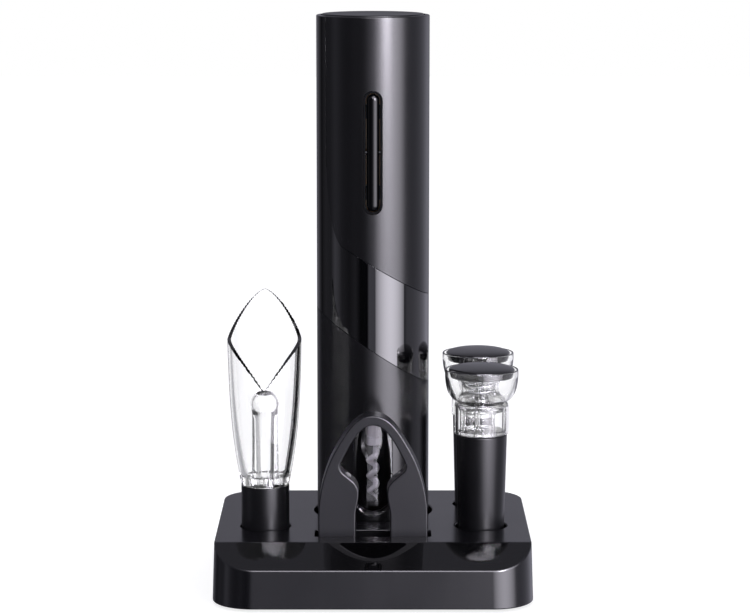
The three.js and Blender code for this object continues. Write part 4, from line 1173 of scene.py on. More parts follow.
# ---------------------------------------------------------------- the opener
@dataclass
class Opener:
    """The cordless opener: covers, cap, window, button, and the worm behind the window."""

    shop: PaintShop
    radius: float = 24.0
    cover: float = 1.8
    lip: float = 0.5
    steps: int = 256
    gap: float = 0.3
    upper_height: float = 109.5
    upper_fall: float = 0.6
    lower_height: float = 73.2
    lower_fall: float = 0.67
    panel_turn: float = -55.0
    corner_x: float = -13.2
    corner_rise: float = 33.0
    corner_bow: float = 1.0
    corner_lift: float = 6.0
    window_width: float = 16.6
    slot_width: float = 8.2
    slot_length: float = 52.0
    rocker_width: float = 5.1
    rocker_length: float = 49.0
    rocker_depth: float = 3.0
    rocker_crown: float = 1.8
    rocker_roll: float = 2.45
    pin_radius: float = 0.8
    coil_radius: float = 1.45
    wire_radius: float = 1.5
    turns: float = 3.2
    bow_steps: int = 16
    cap_round: float = 0.5
    cap_dish: float = 0.12
    pane_wall: float = 1.4
    bezel_walls: float = 1.3
    rocker_rings: int = 12
    rocker_sweep: float = 88.0
    pin_sunk: float = 0.7
    coil_steps: int = 24
    wire_sides: int = 16
    tip_rings: int = 20

    def __post_init__(self) -> None:
        """Reads the heights and the axis from the frame."""
        self.deck = corners("stand_shell")[1].z
        self.low, self.high = corners("lower_cover")[0].z, corners("upper_cover")[1].z
        self.axis = axis_of("top_cap")
        self.front = self.axis.y - self.radius

    def line_at(self, height: float, fall: float, x: float) -> float:
        """The height of a slanting parting line at a place across the front."""
        return self.deck + height - fall * x

    def panel_room(self, gap: float) -> Piece:
        """The room that the satin panel fills: a half tube turned to the left, ended by a slanting line.

        Args:
            gap: how far its sides are moved inwards.

        Returns:
            The solid room.
        """
        reach = 2 * self.radius
        edge_x = self.radius * sin(radians(self.panel_turn))
        corner_z = self.line_at(self.upper_height, self.upper_fall, self.corner_x) + gap
        bow = [
            (edge_x, corner_z + self.corner_rise), (edge_x + self.corner_bow, corner_z + self.corner_lift),
            (self.corner_x, corner_z),
        ]
        curve = []
        for i in range(self.bow_steps + 1):
            t = i / self.bow_steps
            curve.append(tuple((1 - t) ** 2 * a + 2 * t * (1 - t) * b + t * t * c for a, b, c in zip(*bow)))
        far = self.line_at(self.upper_height, self.upper_fall, reach) + gap
        outline = [
            (reach, far), (reach, self.high + OVERSHOOT), (edge_x - reach, self.high + OVERSHOOT),
            (edge_x - reach, corner_z + self.corner_rise), *curve,
        ]
        room = drawn_out("panel_room", outline, -reach, reach, self.axis)
        half = block("half", (-reach, -reach, 0), (reach, -gap, self.high * 2))
        take(half)
        turn = -radians(self.panel_turn + QUARTER_TURN)
        bpy.ops.transform.rotate(value=turn, orient_axis="Z", center_override=(0, 0, 0))
        bpy.ops.transform.translate(value=self.axis * MM)
        settle(half)
        shape_with(room, half, Cut.KEEP)
        return room

    def below(self, height: float, fall: float) -> Piece:
        """The room below a slanting parting line.

        Args:
            height: the line's height over the deck at the middle.
            fall: how far the line falls for each millimetre to the right.

        Returns:
            The solid room.
        """
        reach = 2 * self.radius
        outline = [
            (-reach, 0), (reach, 0), (reach, self.line_at(height, fall, reach)),
            (-reach, self.line_at(height, fall, -reach)),
        ]
        return drawn_out("below", outline, -reach, reach, self.axis)

    def tube(self, name: str) -> Piece:
        """The whole outer tube, from which each cover is cut.

        Args:
            name: the piece's name.

        Returns:
            The tube.
        """
        inner, outer = self.radius - self.cover, self.radius
        profile = [
            (inner, self.low),
            *arc((outer - self.lip, self.low + self.lip), self.lip, -QUARTER_TURN, 0, 4),
            *arc((outer - self.lip, self.high - self.lip), self.lip, 0, QUARTER_TURN, 4),
            (inner, self.high), (inner, self.low),
        ]
        return turned(name, profile, self.axis, self.steps)

    def front_bar(self, outline: Sequence[Pair]) -> Piece:
        """A bar through the front wall, for an opening of a given outline."""
        return drawn_out("bar", outline, self.front - OVERSHOOT, self.axis.y)

    def build_covers(self) -> None:
        """Cuts the three covers from the tube."""
        low, high = corners("button_bezel")
        slot_middle = (low.z + high.z) / 2
        slot = self.front_bar(pill(self.slot_width, self.slot_length, slot_middle))
        low, high = corners("charge_socket")
        port = block(
            "port", (low.x - self.gap, self.axis.y, low.z - self.gap),
            (high.x + self.gap, self.axis.y + 2 * self.radius, high.z + self.gap),
        )
        low, high = corners("smoked_window")
        window_length = high.z - low.z + 2 * self.gap
        window = self.front_bar(pill(self.window_width, window_length, (low.z + high.z) / 2))
        upper = self.tube("satin_panel")
        shape_with(upper, self.panel_room(0), Cut.KEEP)
        shape_with(upper, slot)
        shape_with(upper, port, keep_tool=True)
        sleeve = self.tube("gloss_band")
        shape_with(sleeve, self.panel_room(-self.gap))
        shape_with(sleeve, self.below(self.lower_height, self.lower_fall))
        shape_with(sleeve, port)
        lower = self.tube("satin_lower")
        shape_with(lower, self.below(self.lower_height - self.gap, self.lower_fall), Cut.KEEP)
        shape_with(lower, window)
        for piece, finish, node in (
            (upper, Slot.SATIN, "upper_cover"), (sleeve, Slot.GLOSS, "gloss_sleeve"),
            (lower, Slot.SATIN, "lower_cover"),
        ):
            soften(piece, 0.15, 2, above=60.0)
            self.shop.dress(piece, finish, Body.OPENER.value, node)

    def build_cap(self) -> None:
        """Turns the top cap with its shallow dish and rounded rim."""
        low, high = corners("top_cap")
        radius = (high.x - low.x) / 2
        cap = turned("top_lid", [
            (0, low.z), (radius - 0.3, low.z), (radius, low.z + 0.3),
            *arc((radius - self.cap_round, high.z - self.cap_round), self.cap_round, 0, 80, 6),
            (radius - 1.6, high.z), (radius - 2.2, high.z - self.cap_dish), (0, high.z - self.cap_dish),
        ], self.axis, 192)
        self.shop.dress(cap, Slot.BLACK, Body.OPENER.value, "top_cap")

    def build_window(self) -> None:
        """Turns the smoked pane and trims it to its slot."""
        low, high = corners("smoked_window")
        outer = self.radius - self.gap
        profile = ring(outer - self.pane_wall, outer, low.z, high.z)
        pane = turned("smoked_pane", profile, self.axis, self.steps)
        slot = pill(high.x - low.x, high.z - low.z, (low.z + high.z) / 2)
        shape_with(pane, self.front_bar(slot), Cut.KEEP)
        soften(pane, 0.25, 3, above=60.0)
        pane.visible_shadow = False  # so that the pane doesn't shade the worm
        self.shop.dress(pane, Slot.SMOKED, Body.OPENER.value, "smoked_window")

    def build_button(self) -> None:
        """Builds the bezel and the crowned rocker with its two pins."""
        low, high = corners("button_bezel")
        centre = (low.z + high.z) / 2
        width, length = high.x - low.x, high.z - low.z
        bezel = drawn_out("slot_bezel", pill(width, length, centre), low.y, high.y)
        opening = pill(width - self.bezel_walls, length - self.bezel_walls, centre)
        shape_with(bezel, drawn_out("opening", opening, low.y - OVERSHOOT, high.y + OVERSHOOT))
        soften(bezel, 0.08, 1, above=60.0)
        self.shop.dress(bezel, Slot.GLOSS, Body.OPENER.value, "button_bezel", special=Special.ROCKER)

        low, high = corners("rocker_button")
        centre = (low.z + high.z) / 2
        front = low.y
        rocker = drawn_out(
            "rocker", pill(self.rocker_width, self.rocker_length, centre, 32), front + self.rocker_crown,
            front + self.rocker_depth,
        )
        pick_faces(rocker, lambda c, n: n.y < -FACING)
        inwards, outwards = 0.0, 0.0
        for i in range(1, self.rocker_rings + 1):
            angle = radians(self.rocker_sweep * i / self.rocker_rings)
            last, inwards = inwards, self.rocker_roll * (1 - cos(angle))
            bpy.ops.mesh.inset(thickness=(inwards - last) * MM, depth=0)
            last, outwards = outwards, self.rocker_crown * sin(angle)
            bpy.ops.transform.translate(value=(0, -(outwards - last) * MM, 0))
        close_up(60.0)
        pin_y = self.axis.y - self.radius + self.cover + self.gap + self.pin_sunk
        clear_selection()
        bpy.ops.mesh.primitive_cylinder_add(
            vertices=32, radius=self.pin_radius * MM, depth=2 * high.x * MM,
            location=Vector((0, pin_y, centre)) * MM, rotation=(0, pi / 2, 0),
        )
        pin = bpy.context.object
        settle(pin)
        shape_with(rocker, pin, Cut.JOIN)
        even_shading(rocker, 50.0)
        self.shop.dress(rocker, Slot.GLOSS, Body.ROCKER.value, "rocker_button", special=Special.ROCKER)

    def build_worm(self) -> None:
        """Winds the worm, points its tip and turns the chuck that holds it."""
        low, high = corners("worm")
        coil = wound(
            "worm_coil", self.axis, self.coil_radius, self.wire_radius, low.z + self.wire_radius,
            high.z - low.z - 2 * self.wire_radius, self.turns, self.coil_steps, self.wire_sides,
        )
        point_tip(coil, self.wire_sides, self.tip_rings)
        self.shop.dress(coil, Slot.STEEL, Body.WORM.value, "worm", special=Special.WORM)
        low, high = corners("worm_chuck")
        radius = (high.x - low.x) / 2
        chuck = turned("worm_holder", round_off([
            (0, low.z), (radius - 0.5, low.z), (radius, low.z + 0.5), (radius, low.z + 3.2),
            (radius - 0.35, low.z + 3.5), (radius - 0.35, low.z + 4.1), (radius, low.z + 4.4),
            (radius, high.z - 0.6), (radius - 0.6, high.z), (0, high.z),
        ], 0.25), self.axis, 64)
        self.shop.dress(chuck, Slot.STEEL, Body.WORM.value, "worm_chuck", special=Special.WORM)

    def build(self) -> None:
        """Builds every dressed piece of the opener."""
        self.build_covers()
        self.build_cap()
        self.build_window()
        self.build_button()
        self.build_worm()


def wound(
    name: str, axis: Vector, radius: float, wire: float, bottom: float, rise: float,
    turns: float, steps: int, sides: int,
) -> Piece:
    """Winds a round wire into a coil.

    Args:
        name: the piece's name.
        axis: a point on the coil's axis, in millimetres.
        radius: from the axis to the middle of the wire.
        wire: the wire's radius.
        bottom: the height of the wire's middle at the start.
        rise: how far the coil climbs.
        turns: how many turns it makes.
        steps: how many lengths each turn has.
        sides: how many flats go round the wire.

    Returns:
        The coil with closed ends.
    """
    clear_selection()
    bpy.ops.mesh.primitive_circle_add(
        vertices=sides, radius=wire * MM, fill_type="NGON", location=(radius * MM, 0, 0),
        rotation=(pi / 2, 0, 0),
    )
    piece = bpy.context.object
    piece.name = name
    settle(piece)
    pick_vertices(piece, lambda v: True)
    bpy.ops.mesh.delete(type="ONLY_FACE")
    bpy.ops.object.mode_set(mode="OBJECT")
    apply_modifier(
        piece, "SCREW", angle=radians(FULL_TURN * turns), screw_offset=rise * MM, iterations=1,
        steps=round(turns * steps), render_steps=round(turns * steps), axis="Z", use_merge_vertices=False,
    )
    for first in (0, len(piece.data.vertices) - sides):
        pick_ring(piece, first, sides)
        bpy.ops.mesh.edge_face_add()
        bpy.ops.object.mode_set(mode="OBJECT")
    piece.data.transform(Matrix.Translation(Vector((axis.x, axis.y, bottom)) * MM))
    take(piece)
    bpy.ops.object.mode_set(mode="EDIT")
    close_up(60.0)
    return piece


def point_tip(coil: Piece, sides: int, rings: int, blunt: float = 0.12) -> None:
    """Draws the first rings of a coil down to a point.

    Args:
        coil: the coil, its vertices in rings from the tip up.
        sides: how many vertices a ring has.
        rings: how many rings the point takes.
        blunt: how wide the first ring stays, as a share of the wire.
    """
    for count in range(rings):
        share = blunt + (1 - blunt) * (count / rings) ** 0.7
        centre = pick_ring(coil, count * sides, sides)
        bpy.ops.transform.resize(value=(share, share, share), center_override=centre)
        bpy.ops.object.mode_set(mode="OBJECT")


# ---------------------------------------------------------------- the foil cutter
def mirrored(line: Sequence[Pair]) -> list[Pair]:
    """A line of points on the other side of the middle, run the other way."""
    return [(-x, z) for x, z in reversed(line)]


@dataclass
class FoilCutter:
    """The arched foil cutter: two halves and four cutting wheels."""

    shop: PaintShop
    foot_width: float = 45.4
    leg_gap: float = 14.4
    neck_gap: float = 11.8
    opening_width: float = 27.2
    height: float = 50.9
    opening_top: float = 46.9
    wide_z: float = 30.5
    neck_z: float = 18.5
    sunk: float = 8.2
    edge: float = 0.55
    steps: int = 20
    shoulder_in: float = 7.4
    shoulder_up: float = 6.1
    leg_top: float = 8.4
    axle_room: float = 0.75
    axle_reach: float = 2.75
    wheel_room: float = 2.15
    wheel_slot: float = 0.45

    def outline(self) -> list[Pair]:
        """The arch's closed outline in X and Z, from the deck."""
        foot = self.foot_width / 2
        shoulder = (foot - self.shoulder_in, self.wide_z + self.shoulder_up)
        wide = (self.opening_width / 2, self.wide_z)
        neck = (self.neck_gap / 2, self.neck_z)
        leg = (self.leg_gap / 2, self.leg_top)
        top, crown = self.opening_top, self.height
        side = [(foot, 8), (foot, self.neck_z + 1.5), (shoulder[0] + 3.7, self.wide_z), shoulder]
        back = [shoulder, (shoulder[0] - 4.8, crown - 5.6), (6.5, crown), (0, crown)]
        vault = [(0, top), (5.5, top), (wide[0] - 4.1, self.wide_z + 8.5), wide]
        throat = [wide, (wide[0] + 1.2, self.wide_z - 5), (neck[0] + 0.3, self.neck_z + 6.5), neck]
        inseam = [neck, (neck[0], self.neck_z - 4.5), (leg[0], leg[1] + 3.6), leg]
        outer = [(foot, -self.sunk), *bezier(side, self.steps), *bezier(back, self.steps)[1:]]
        inner = [
            *bezier(vault, self.steps), *bezier(throat, self.steps)[1:], *bezier(inseam, self.steps)[1:],
            (leg[0], -self.sunk),
        ]
        return [*outer, *mirrored(outer)[1:], *mirrored(inner), *inner[1:]]

    def build_half(self, name: str, node: str, side: int) -> None:
        """Draws out one half, rounds its outer edges and cuts the wheels' room.

        Args:
            name: the piece's name.
            node: the CAD node that it replaces.
            side: -1 for the front half, 1 for the rear half.
        """
        deck = corners("stand_shell")[1].z
        low, high = corners(node)
        half = drawn_out(name, self.outline(), low.y, high.y, Vector((0, 0, deck)))
        face = low.y if side < 0 else high.y
        pick_edges(half, lambda a, b: abs(a.y - face) < 0.01 and abs(b.y - face) < 0.01)
        bpy.ops.mesh.bevel(offset=self.edge * MM, segments=5, affect="EDGES", clamp_overlap=True)
        close_up(40.0)
        axle = [(0, self.axle_reach), (self.axle_room, self.axle_reach), (self.axle_room, self.wheel_slot)]
        side = [*axle, (self.wheel_room, self.wheel_slot)]
        profile = [*((r, -h) for r, h in side), *side[::-1]]
        for wheel in WHEELS:
            shape_with(half, turned("room", profile, middle(f"cutter_wheel_{wheel}"), 48, Axis.Y))
        even_shading(half)
        self.shop.dress(half, Slot.GREY, Body.CUTTER.value, node)

    def build_wheels(self) -> None:
        """Turns one cutting wheel with its axle and copies it to the four places."""
        first = middle(f"cutter_wheel_{WHEELS[0]}")
        side = [(0, 2.5), (0.4, 2.5), (0.5, 2.4), (0.5, 0.3), (0.9, 0.25), (1.5, 0.12)]
        profile = [*((r, -h) for r, h in side), (1.9, 0), *side[::-1]]
        wheel = turned(f"wheel_{WHEELS[0]}", profile, first, 48, Axis.Y, smooth=25.0)
        wheels = [wheel] + [
            copied(wheel, f"wheel_{name}", middle(f"cutter_wheel_{name}") - first) for name in WHEELS[1:]
        ]
        for name, piece in zip(WHEELS, wheels):
            self.shop.dress(
                piece, Slot.STEEL, f"wheel_{name}", f"cutter_wheel_{name}", special=Special.WHEEL,
            )

    def build(self) -> None:
        """Builds both halves and the wheels."""
        self.build_half("arch_front", "cutter_front_half", -1)
        self.build_half("arch_rear", "cutter_rear_half", 1)
        self.build_wheels()


# ---------------------------------------------------------------- the pourer
@dataclass
class Pourer:
    """The aerating pourer: ribbed seal, collar, clear tulip and air tube."""

    shop: PaintShop
    radius: float = 10.1
    collar_wall: float = 1.5
    belly: float = 15.75
    wall_low: float = 2.4
    wall_high: float = 1.3
    foot: float = 3.7
    vents: int = 7
    vent_radius: float = 1.2
    mouth_low: float = 59.4
    back_high: float = 101.0
    gap: float = 0.3
    steps: int = 160
    collar_edge: float = 0.35
    seal: float = 9.2
    seal_bore: float = 4.4
    seal_round: float = 0.8
    ribs: int = 3
    rib: float = 0.6
    rib_first: float = 1.4
    rib_pitch: float = 3.4
    rib_height: float = 1.6
    neck_wall: float = 2.0
    neck_sunk: float = 5.0
    vent_floor: float = 0.9
    vent_turn: float = 18.0
    hood_z: float = 52.0
    hood: float = 6.1
    hood_wall: float = 1.0
    hood_mouth: float = 3.1
    hood_floor: float = 4.4
    hood_seat: float = 6.3
    shoulder: float = 5.7
    tube_bore: float = 2.6
    cone_bore: float = 3.0
    cone_drop: float = 5.8

    def __post_init__(self) -> None:
        """Reads the axis and the heights from the frame."""
        self.axis = axis_of("pourer_collar")
        self.deck = corners("stand_shell")[1].z

    def build_collar(self) -> None:
        """Turns the collar, a plain ring with softened edges."""
        low, high = corners("pourer_collar")
        inner = self.radius - self.collar_wall
        profile = round_off(ring(inner, self.radius, low.z, high.z), self.collar_edge)
        collar = turned("pourer_ring", profile, self.axis, self.steps)
        self.shop.dress(collar, Slot.BLACK, Body.POURER.value, "pourer_collar")

    def build_seal(self) -> None:
        """Turns the seal with its three soft ribs."""
        low, high = corners("pourer_seal")
        collar_low = corners("pourer_collar")[0].z
        neck = self.radius - self.collar_wall - self.gap
        foot, steps = self.seal - self.seal_round, 8
        ribs = [
            (self.seal + self.rib * max(0.0, sin(pi * i / steps)),
             low.z + self.rib_first + row * self.rib_pitch + self.rib_height * i / steps)
            for row in range(self.ribs) for i in range(steps + 1)
        ]
        seal = turned("pourer_grip", [
            (self.seal_bore, low.z), (foot, low.z),
            *arc((foot, low.z + self.seal_round), self.seal_round, -QUARTER_TURN, 0, 4)[1:], *ribs,
            (self.seal, collar_low - self.gap), (neck, collar_low + 0.1), (neck, high.z),
            (self.seal_bore, high.z), (self.seal_bore, low.z),
        ], self.axis, self.steps)
        self.shop.dress(seal, Slot.RUBBER, Body.POURER.value, "pourer_seal")

    def mouth(self) -> Piece:
        """The room above the mouth's rim, which dips to a point in front and rises to a soft tip behind.

        Returns:
            The room, its underside ruled towards the axis.
        """
        front = bezier([(0, 0), (34, 12.6), (58, 18.8), (92, 20.4)], 20)
        rear = bezier([(92, 20.4), (122, 21.5), (156, 37.5), (HALF_TURN, 39.5)], 24)
        half = [*front, *rear[1:]]
        turns = [*half, *((FULL_TURN - turn, rise) for turn, rise in half[-2::-1])]
        outer, inner = 2 * self.belly, self.belly / 4
        low = self.deck + self.mouth_low
        line = [
            self.axis + Vector((outer * sin(radians(turn)), -outer * cos(radians(turn)), low + rise))
            for turn, rise in turns
        ]
        room = start_point("mouth", line[0])
        draw_on(line)
        bpy.ops.mesh.select_all(action="SELECT")
        bpy.ops.mesh.extrude_edges_move()
        share = inner / outer
        bpy.ops.transform.resize(value=(share, share, 1), center_override=self.axis * MM)
        bpy.ops.mesh.select_all(action="SELECT")
        bpy.ops.mesh.remove_doubles(threshold=WELD * MM)
        bpy.ops.mesh.extrude_region_move(TRANSFORM_OT_translate={"value": (0, 0, 4 * self.belly * MM)})
        close_up()
        return room

    def build_tulip(self) -> None:
        """Turns the clear tulip and cuts its pointed mouth."""
        collar_top = corners("pourer_collar")[1].z
        neck_outer = self.radius - self.collar_wall - self.gap
        neck_inner = neck_outer - self.neck_wall
        neck_low = collar_top - self.neck_sunk
        flare_low = collar_top + self.gap
        flare = bezier([
            (self.radius, flare_low), (self.radius + 3.2, collar_top + 17),
            (self.belly - 0.2, self.deck + 47), (self.belly, self.deck + self.back_high + 1),
        ], 48)
        foot_top = flare_low + self.foot
        inner = []
        for i, (r, z) in enumerate(flare):
            share = i / (len(flare) - 1)
            if z > foot_top + 1.2:
                inner.append((r - self.wall_low + (self.wall_low - self.wall_high) * share ** 1.5, z))
        floor = inner[0][0]
        tulip = turned("tulip", [
            (neck_inner, neck_low), (neck_outer, neck_low), (neck_outer, flare_low), *flare, *inner[::-1],
            (floor - 0.4, foot_top + 0.3), (floor - 1.1, foot_top), (neck_inner, foot_top),
            (neck_inner, neck_low),
        ], self.axis, self.steps)
        vent = rod("vent", self.vent_radius, flare_low + self.vent_floor, foot_top + OVERSHOOT, self.axis, 20)
        shape_with(tulip, ringed(vent, (neck_inner + floor - 0.9) / 2, self.vents, self.vent_turn))
        shape_with(tulip, self.mouth())
        soften(tulip, 0.45, 4, above=50.0)
        self.shop.dress(tulip, Slot.CLEAR, Body.POURER.value, "pourer_tulip")

    def build_air_tube(self) -> None:
        """Turns the air tube with its round hooded head."""
        collar_top = corners("pourer_collar")[1].z
        low = corners("pourer_air_tube")[0]
        hood_z = self.deck + self.hood_z
        tube_radius = self.radius - self.collar_wall - 2 * self.gap - self.neck_wall
        inside = self.hood - self.hood_wall
        outer_arc = arc(
            (0, hood_z), self.hood, -degrees(acos(self.shoulder / self.hood_seat)),
            degrees(acos(self.hood_mouth / self.hood)), 16,
        )
        inner_arc = arc(
            (0, hood_z), inside, degrees(acos(self.hood_mouth / inside)),
            -degrees(acos(self.hood_floor / inside)), 16,
        )
        tube = turned("air_tube", [
            (self.tube_bore, low.z), (tube_radius, low.z), (tube_radius, collar_top),
            (self.shoulder, collar_top + 2), *outer_arc, *inner_arc,
            (self.cone_bore, hood_z - self.cone_drop), (self.tube_bore, collar_top), (self.tube_bore, low.z),
        ], self.axis, 96)
        soften(tube, 0.2, 2, above=50.0)
        self.shop.dress(tube, Slot.CLEAR, Body.POURER.value, "pourer_air_tube")

    def build(self) -> None:
        """Builds the four pieces."""
        self.build_collar()
        self.build_seal()
        self.build_tulip()
        self.build_air_tube()


# ---------------------------------------------------------------- the stoppers
@dataclass
class Stopper:
    """One vacuum stopper: plug, clear head, flap valve, spring, pump cap and piston."""

    shop: PaintShop
    place: str
    deck_radius: float = 9.8
    top_radius: float = 10.8
    plug_height: float = 39.6
    bore: float = 4.5
    neck_radius: float = 11.3
    neck_wall: float = 1.3
    neck_height: float = 52.8
    waist: float = 9.1
    rim_radius: float = 15.4
    rim_z: float = 64.5
    rim_top: float = 67.1
    wall: float = 0.8
    thicker: float = 0.9
    floor: float = 1.5
    rod_hole: float = 3.1
    spring_wire: float = 0.33
    crown: float = 0.9
    stroke: float = 3.5
    flutes: int = 9
    flute_radius: float = 0.75
    steps: int = 128
    flute_turn: float = -104.0
    plug_round: float = 0.8
    valve_rim: float = 1.4
    valve_nub: float = 3.0
    skirt: float = 3.4
    cap_edge: float = 0.4
    dome_steps: int = 12
    rod_bore: float = 1.7
    rod_radius: float = 2.6
    rod_top: float = 1.2
    spring_radius: float = 5.6
    spring_turns: int = 3

    def __post_init__(self) -> None:
        """Reads the axis and the heights from the frame."""
        self.axis = axis_of(self.node("plug"))
        self.deck = corners("stand_shell")[1].z
        self.body = f"stopper_{self.place}"
        self.pump = f"pump_{self.place}"

    def node(self, part: str) -> str:
        """The CAD node of one of its parts."""
        return f"stopper_{self.place}_{part}"

    def name(self, part: str) -> str:
        """The name of one of its dressed pieces."""
        return f"{self.place}_{part}"

    def build_plug(self) -> None:
        """Turns the tapered rubber plug with its soft ends."""
        low, high = corners(self.node("plug"))
        taper = (self.top_radius - self.deck_radius) / self.plug_height
        end = self.deck_radius + taper * (low.z - self.deck)
        plug = turned(self.name("plug"), round_off([
            (self.bore, low.z), (end, low.z), (self.top_radius, high.z), (self.bore, high.z),
            (self.bore, low.z),
        ], self.plug_round), self.axis, self.steps)
        self.shop.dress(plug, Slot.RUBBER, self.body, self.node("plug"))

    def build_head(self) -> None:
        """Turns the clear neck and bowl."""
        low, high = corners(self.node("head"))
        inner = self.neck_radius - self.neck_wall
        neck_top = self.deck + self.neck_height
        outer_wall = bezier([
            (self.waist, neck_top + 0.3), (self.rim_radius - 1.4, neck_top + 1.4),
            (self.rim_radius - 0.3, neck_top + 6), (self.rim_radius, self.deck + self.rim_z),
        ], 20)
        floor_top = neck_top + self.floor
        floor_low = neck_top - 0.6
        bowl = self.deck + self.rim_z - floor_top
        inner_wall = [
            (r - self.wall - self.thicker * (self.deck + self.rim_z - z) / bowl, z)
            for r, z in outer_wall[::-1] if z > floor_top + 0.4
        ]
        head = turned(self.name("head"), [
            (inner, low.z), (self.neck_radius, low.z),
            *arc((self.neck_radius - 1, neck_top - 1), 1, 0, 80, 5),
            *outer_wall, *arc((self.rim_radius - 0.4, high.z - 0.4), 0.4, 0, 180, 6), *inner_wall,
            (inner_wall[-1][0] - 1.0, floor_top + 0.2), (inner_wall[-1][0] - 2, floor_top),
            (self.rod_hole, floor_top), (self.rod_hole, floor_low), (inner - 0.8, floor_low),
            (inner, floor_low - 0.8), (inner, low.z),
        ], self.axis, self.steps)
        flute = turned("flute", [
            (0, low.z - OVERSHOOT), (self.flute_radius, low.z - OVERSHOOT),
            (self.flute_radius, floor_low - 1.6), (0, floor_low - 1.2),
        ], self.axis, 20)
        shape_with(head, ringed(flute, inner, self.flutes, self.flute_turn))
        even_shading(head)
        self.shop.dress(head, Slot.CLEAR, self.body, self.node("head"))

    def build_valve(self) -> None:
        """Turns the flap valve with its nub."""
        low, high = corners(self.node("valve"))
        radius = (high.x - low.x) / 2
        valve = turned(self.name("valve"), round_off([
            (0, low.z), (radius, low.z), (radius, low.z + self.valve_rim),
            (self.valve_nub, low.z + self.valve_rim), (self.valve_nub, high.z), (0, high.z),
        ], 0.3), self.axis, 96)
        self.shop.dress(valve, Slot.CLEAR, self.body, self.node("valve"))

    def build_pump(self) -> None:
        """Turns the domed cap and the piston, and winds the spring between them."""
        low, high = corners(self.node("pump_cap"))
        radius = (high.x - low.x) / 2
        side_low, rim = self.deck + self.rim_top - self.skirt, self.deck + self.rim_top
        rise, edge = high.z + self.crown - rim, self.cap_edge
        turns = [pi / 2 * i / self.dome_steps for i in range(self.dome_steps)]
        dome = [(radius * cos(turn), rim - edge + (rise + edge) * sin(turn)) for turn in turns]
        cap = turned(self.name("cap"), [
            (0, low.z), (3.9, low.z), (4.2, low.z + 0.3), (4.2, side_low), (radius - 1.0, side_low),
            (radius - 0.7, side_low + 0.3), *dome, (0.0, high.z + self.crown),
        ], self.axis, self.steps, smooth=50.0)
        self.shop.dress(cap, Slot.GLOSS, self.pump, self.node("pump_cap"))
        low, high = corners(self.node("piston"))
        radius = (high.x - low.x) / 2
        piston = turned(self.name("piston"), round_off([
            (self.rod_bore, low.z), (radius - 0.4, low.z), (radius, low.z + 2.2), (radius - 0.7, low.z + 2.2),
            (radius - 1.1, low.z + 0.9), (self.rod_radius, low.z + 0.9), (self.rod_radius, high.z),
            (0, high.z), (0, high.z - self.rod_top), (self.rod_bore, high.z - self.rod_top),
            (self.rod_bore, low.z),
        ], 0.2), self.axis, 96)
        self.shop.dress(piston, Slot.CLEAR, self.pump, self.node("piston"))
        low, high = corners(self.node("spring"))
        spring = wound(
            self.name("spring"), self.axis, self.spring_radius, self.spring_wire,
            low.z + self.spring_wire, high.z - low.z - 2 * self.spring_wire, self.spring_turns, 32, 10,
        )
        self.shop.dress(spring, Slot.STEEL, self.body, self.node("spring"))
        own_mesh(spring)

    def build(self) -> None:
        """Builds the six pieces."""
        self.build_plug()
        self.build_head()
        self.build_valve()
        self.build_pump()


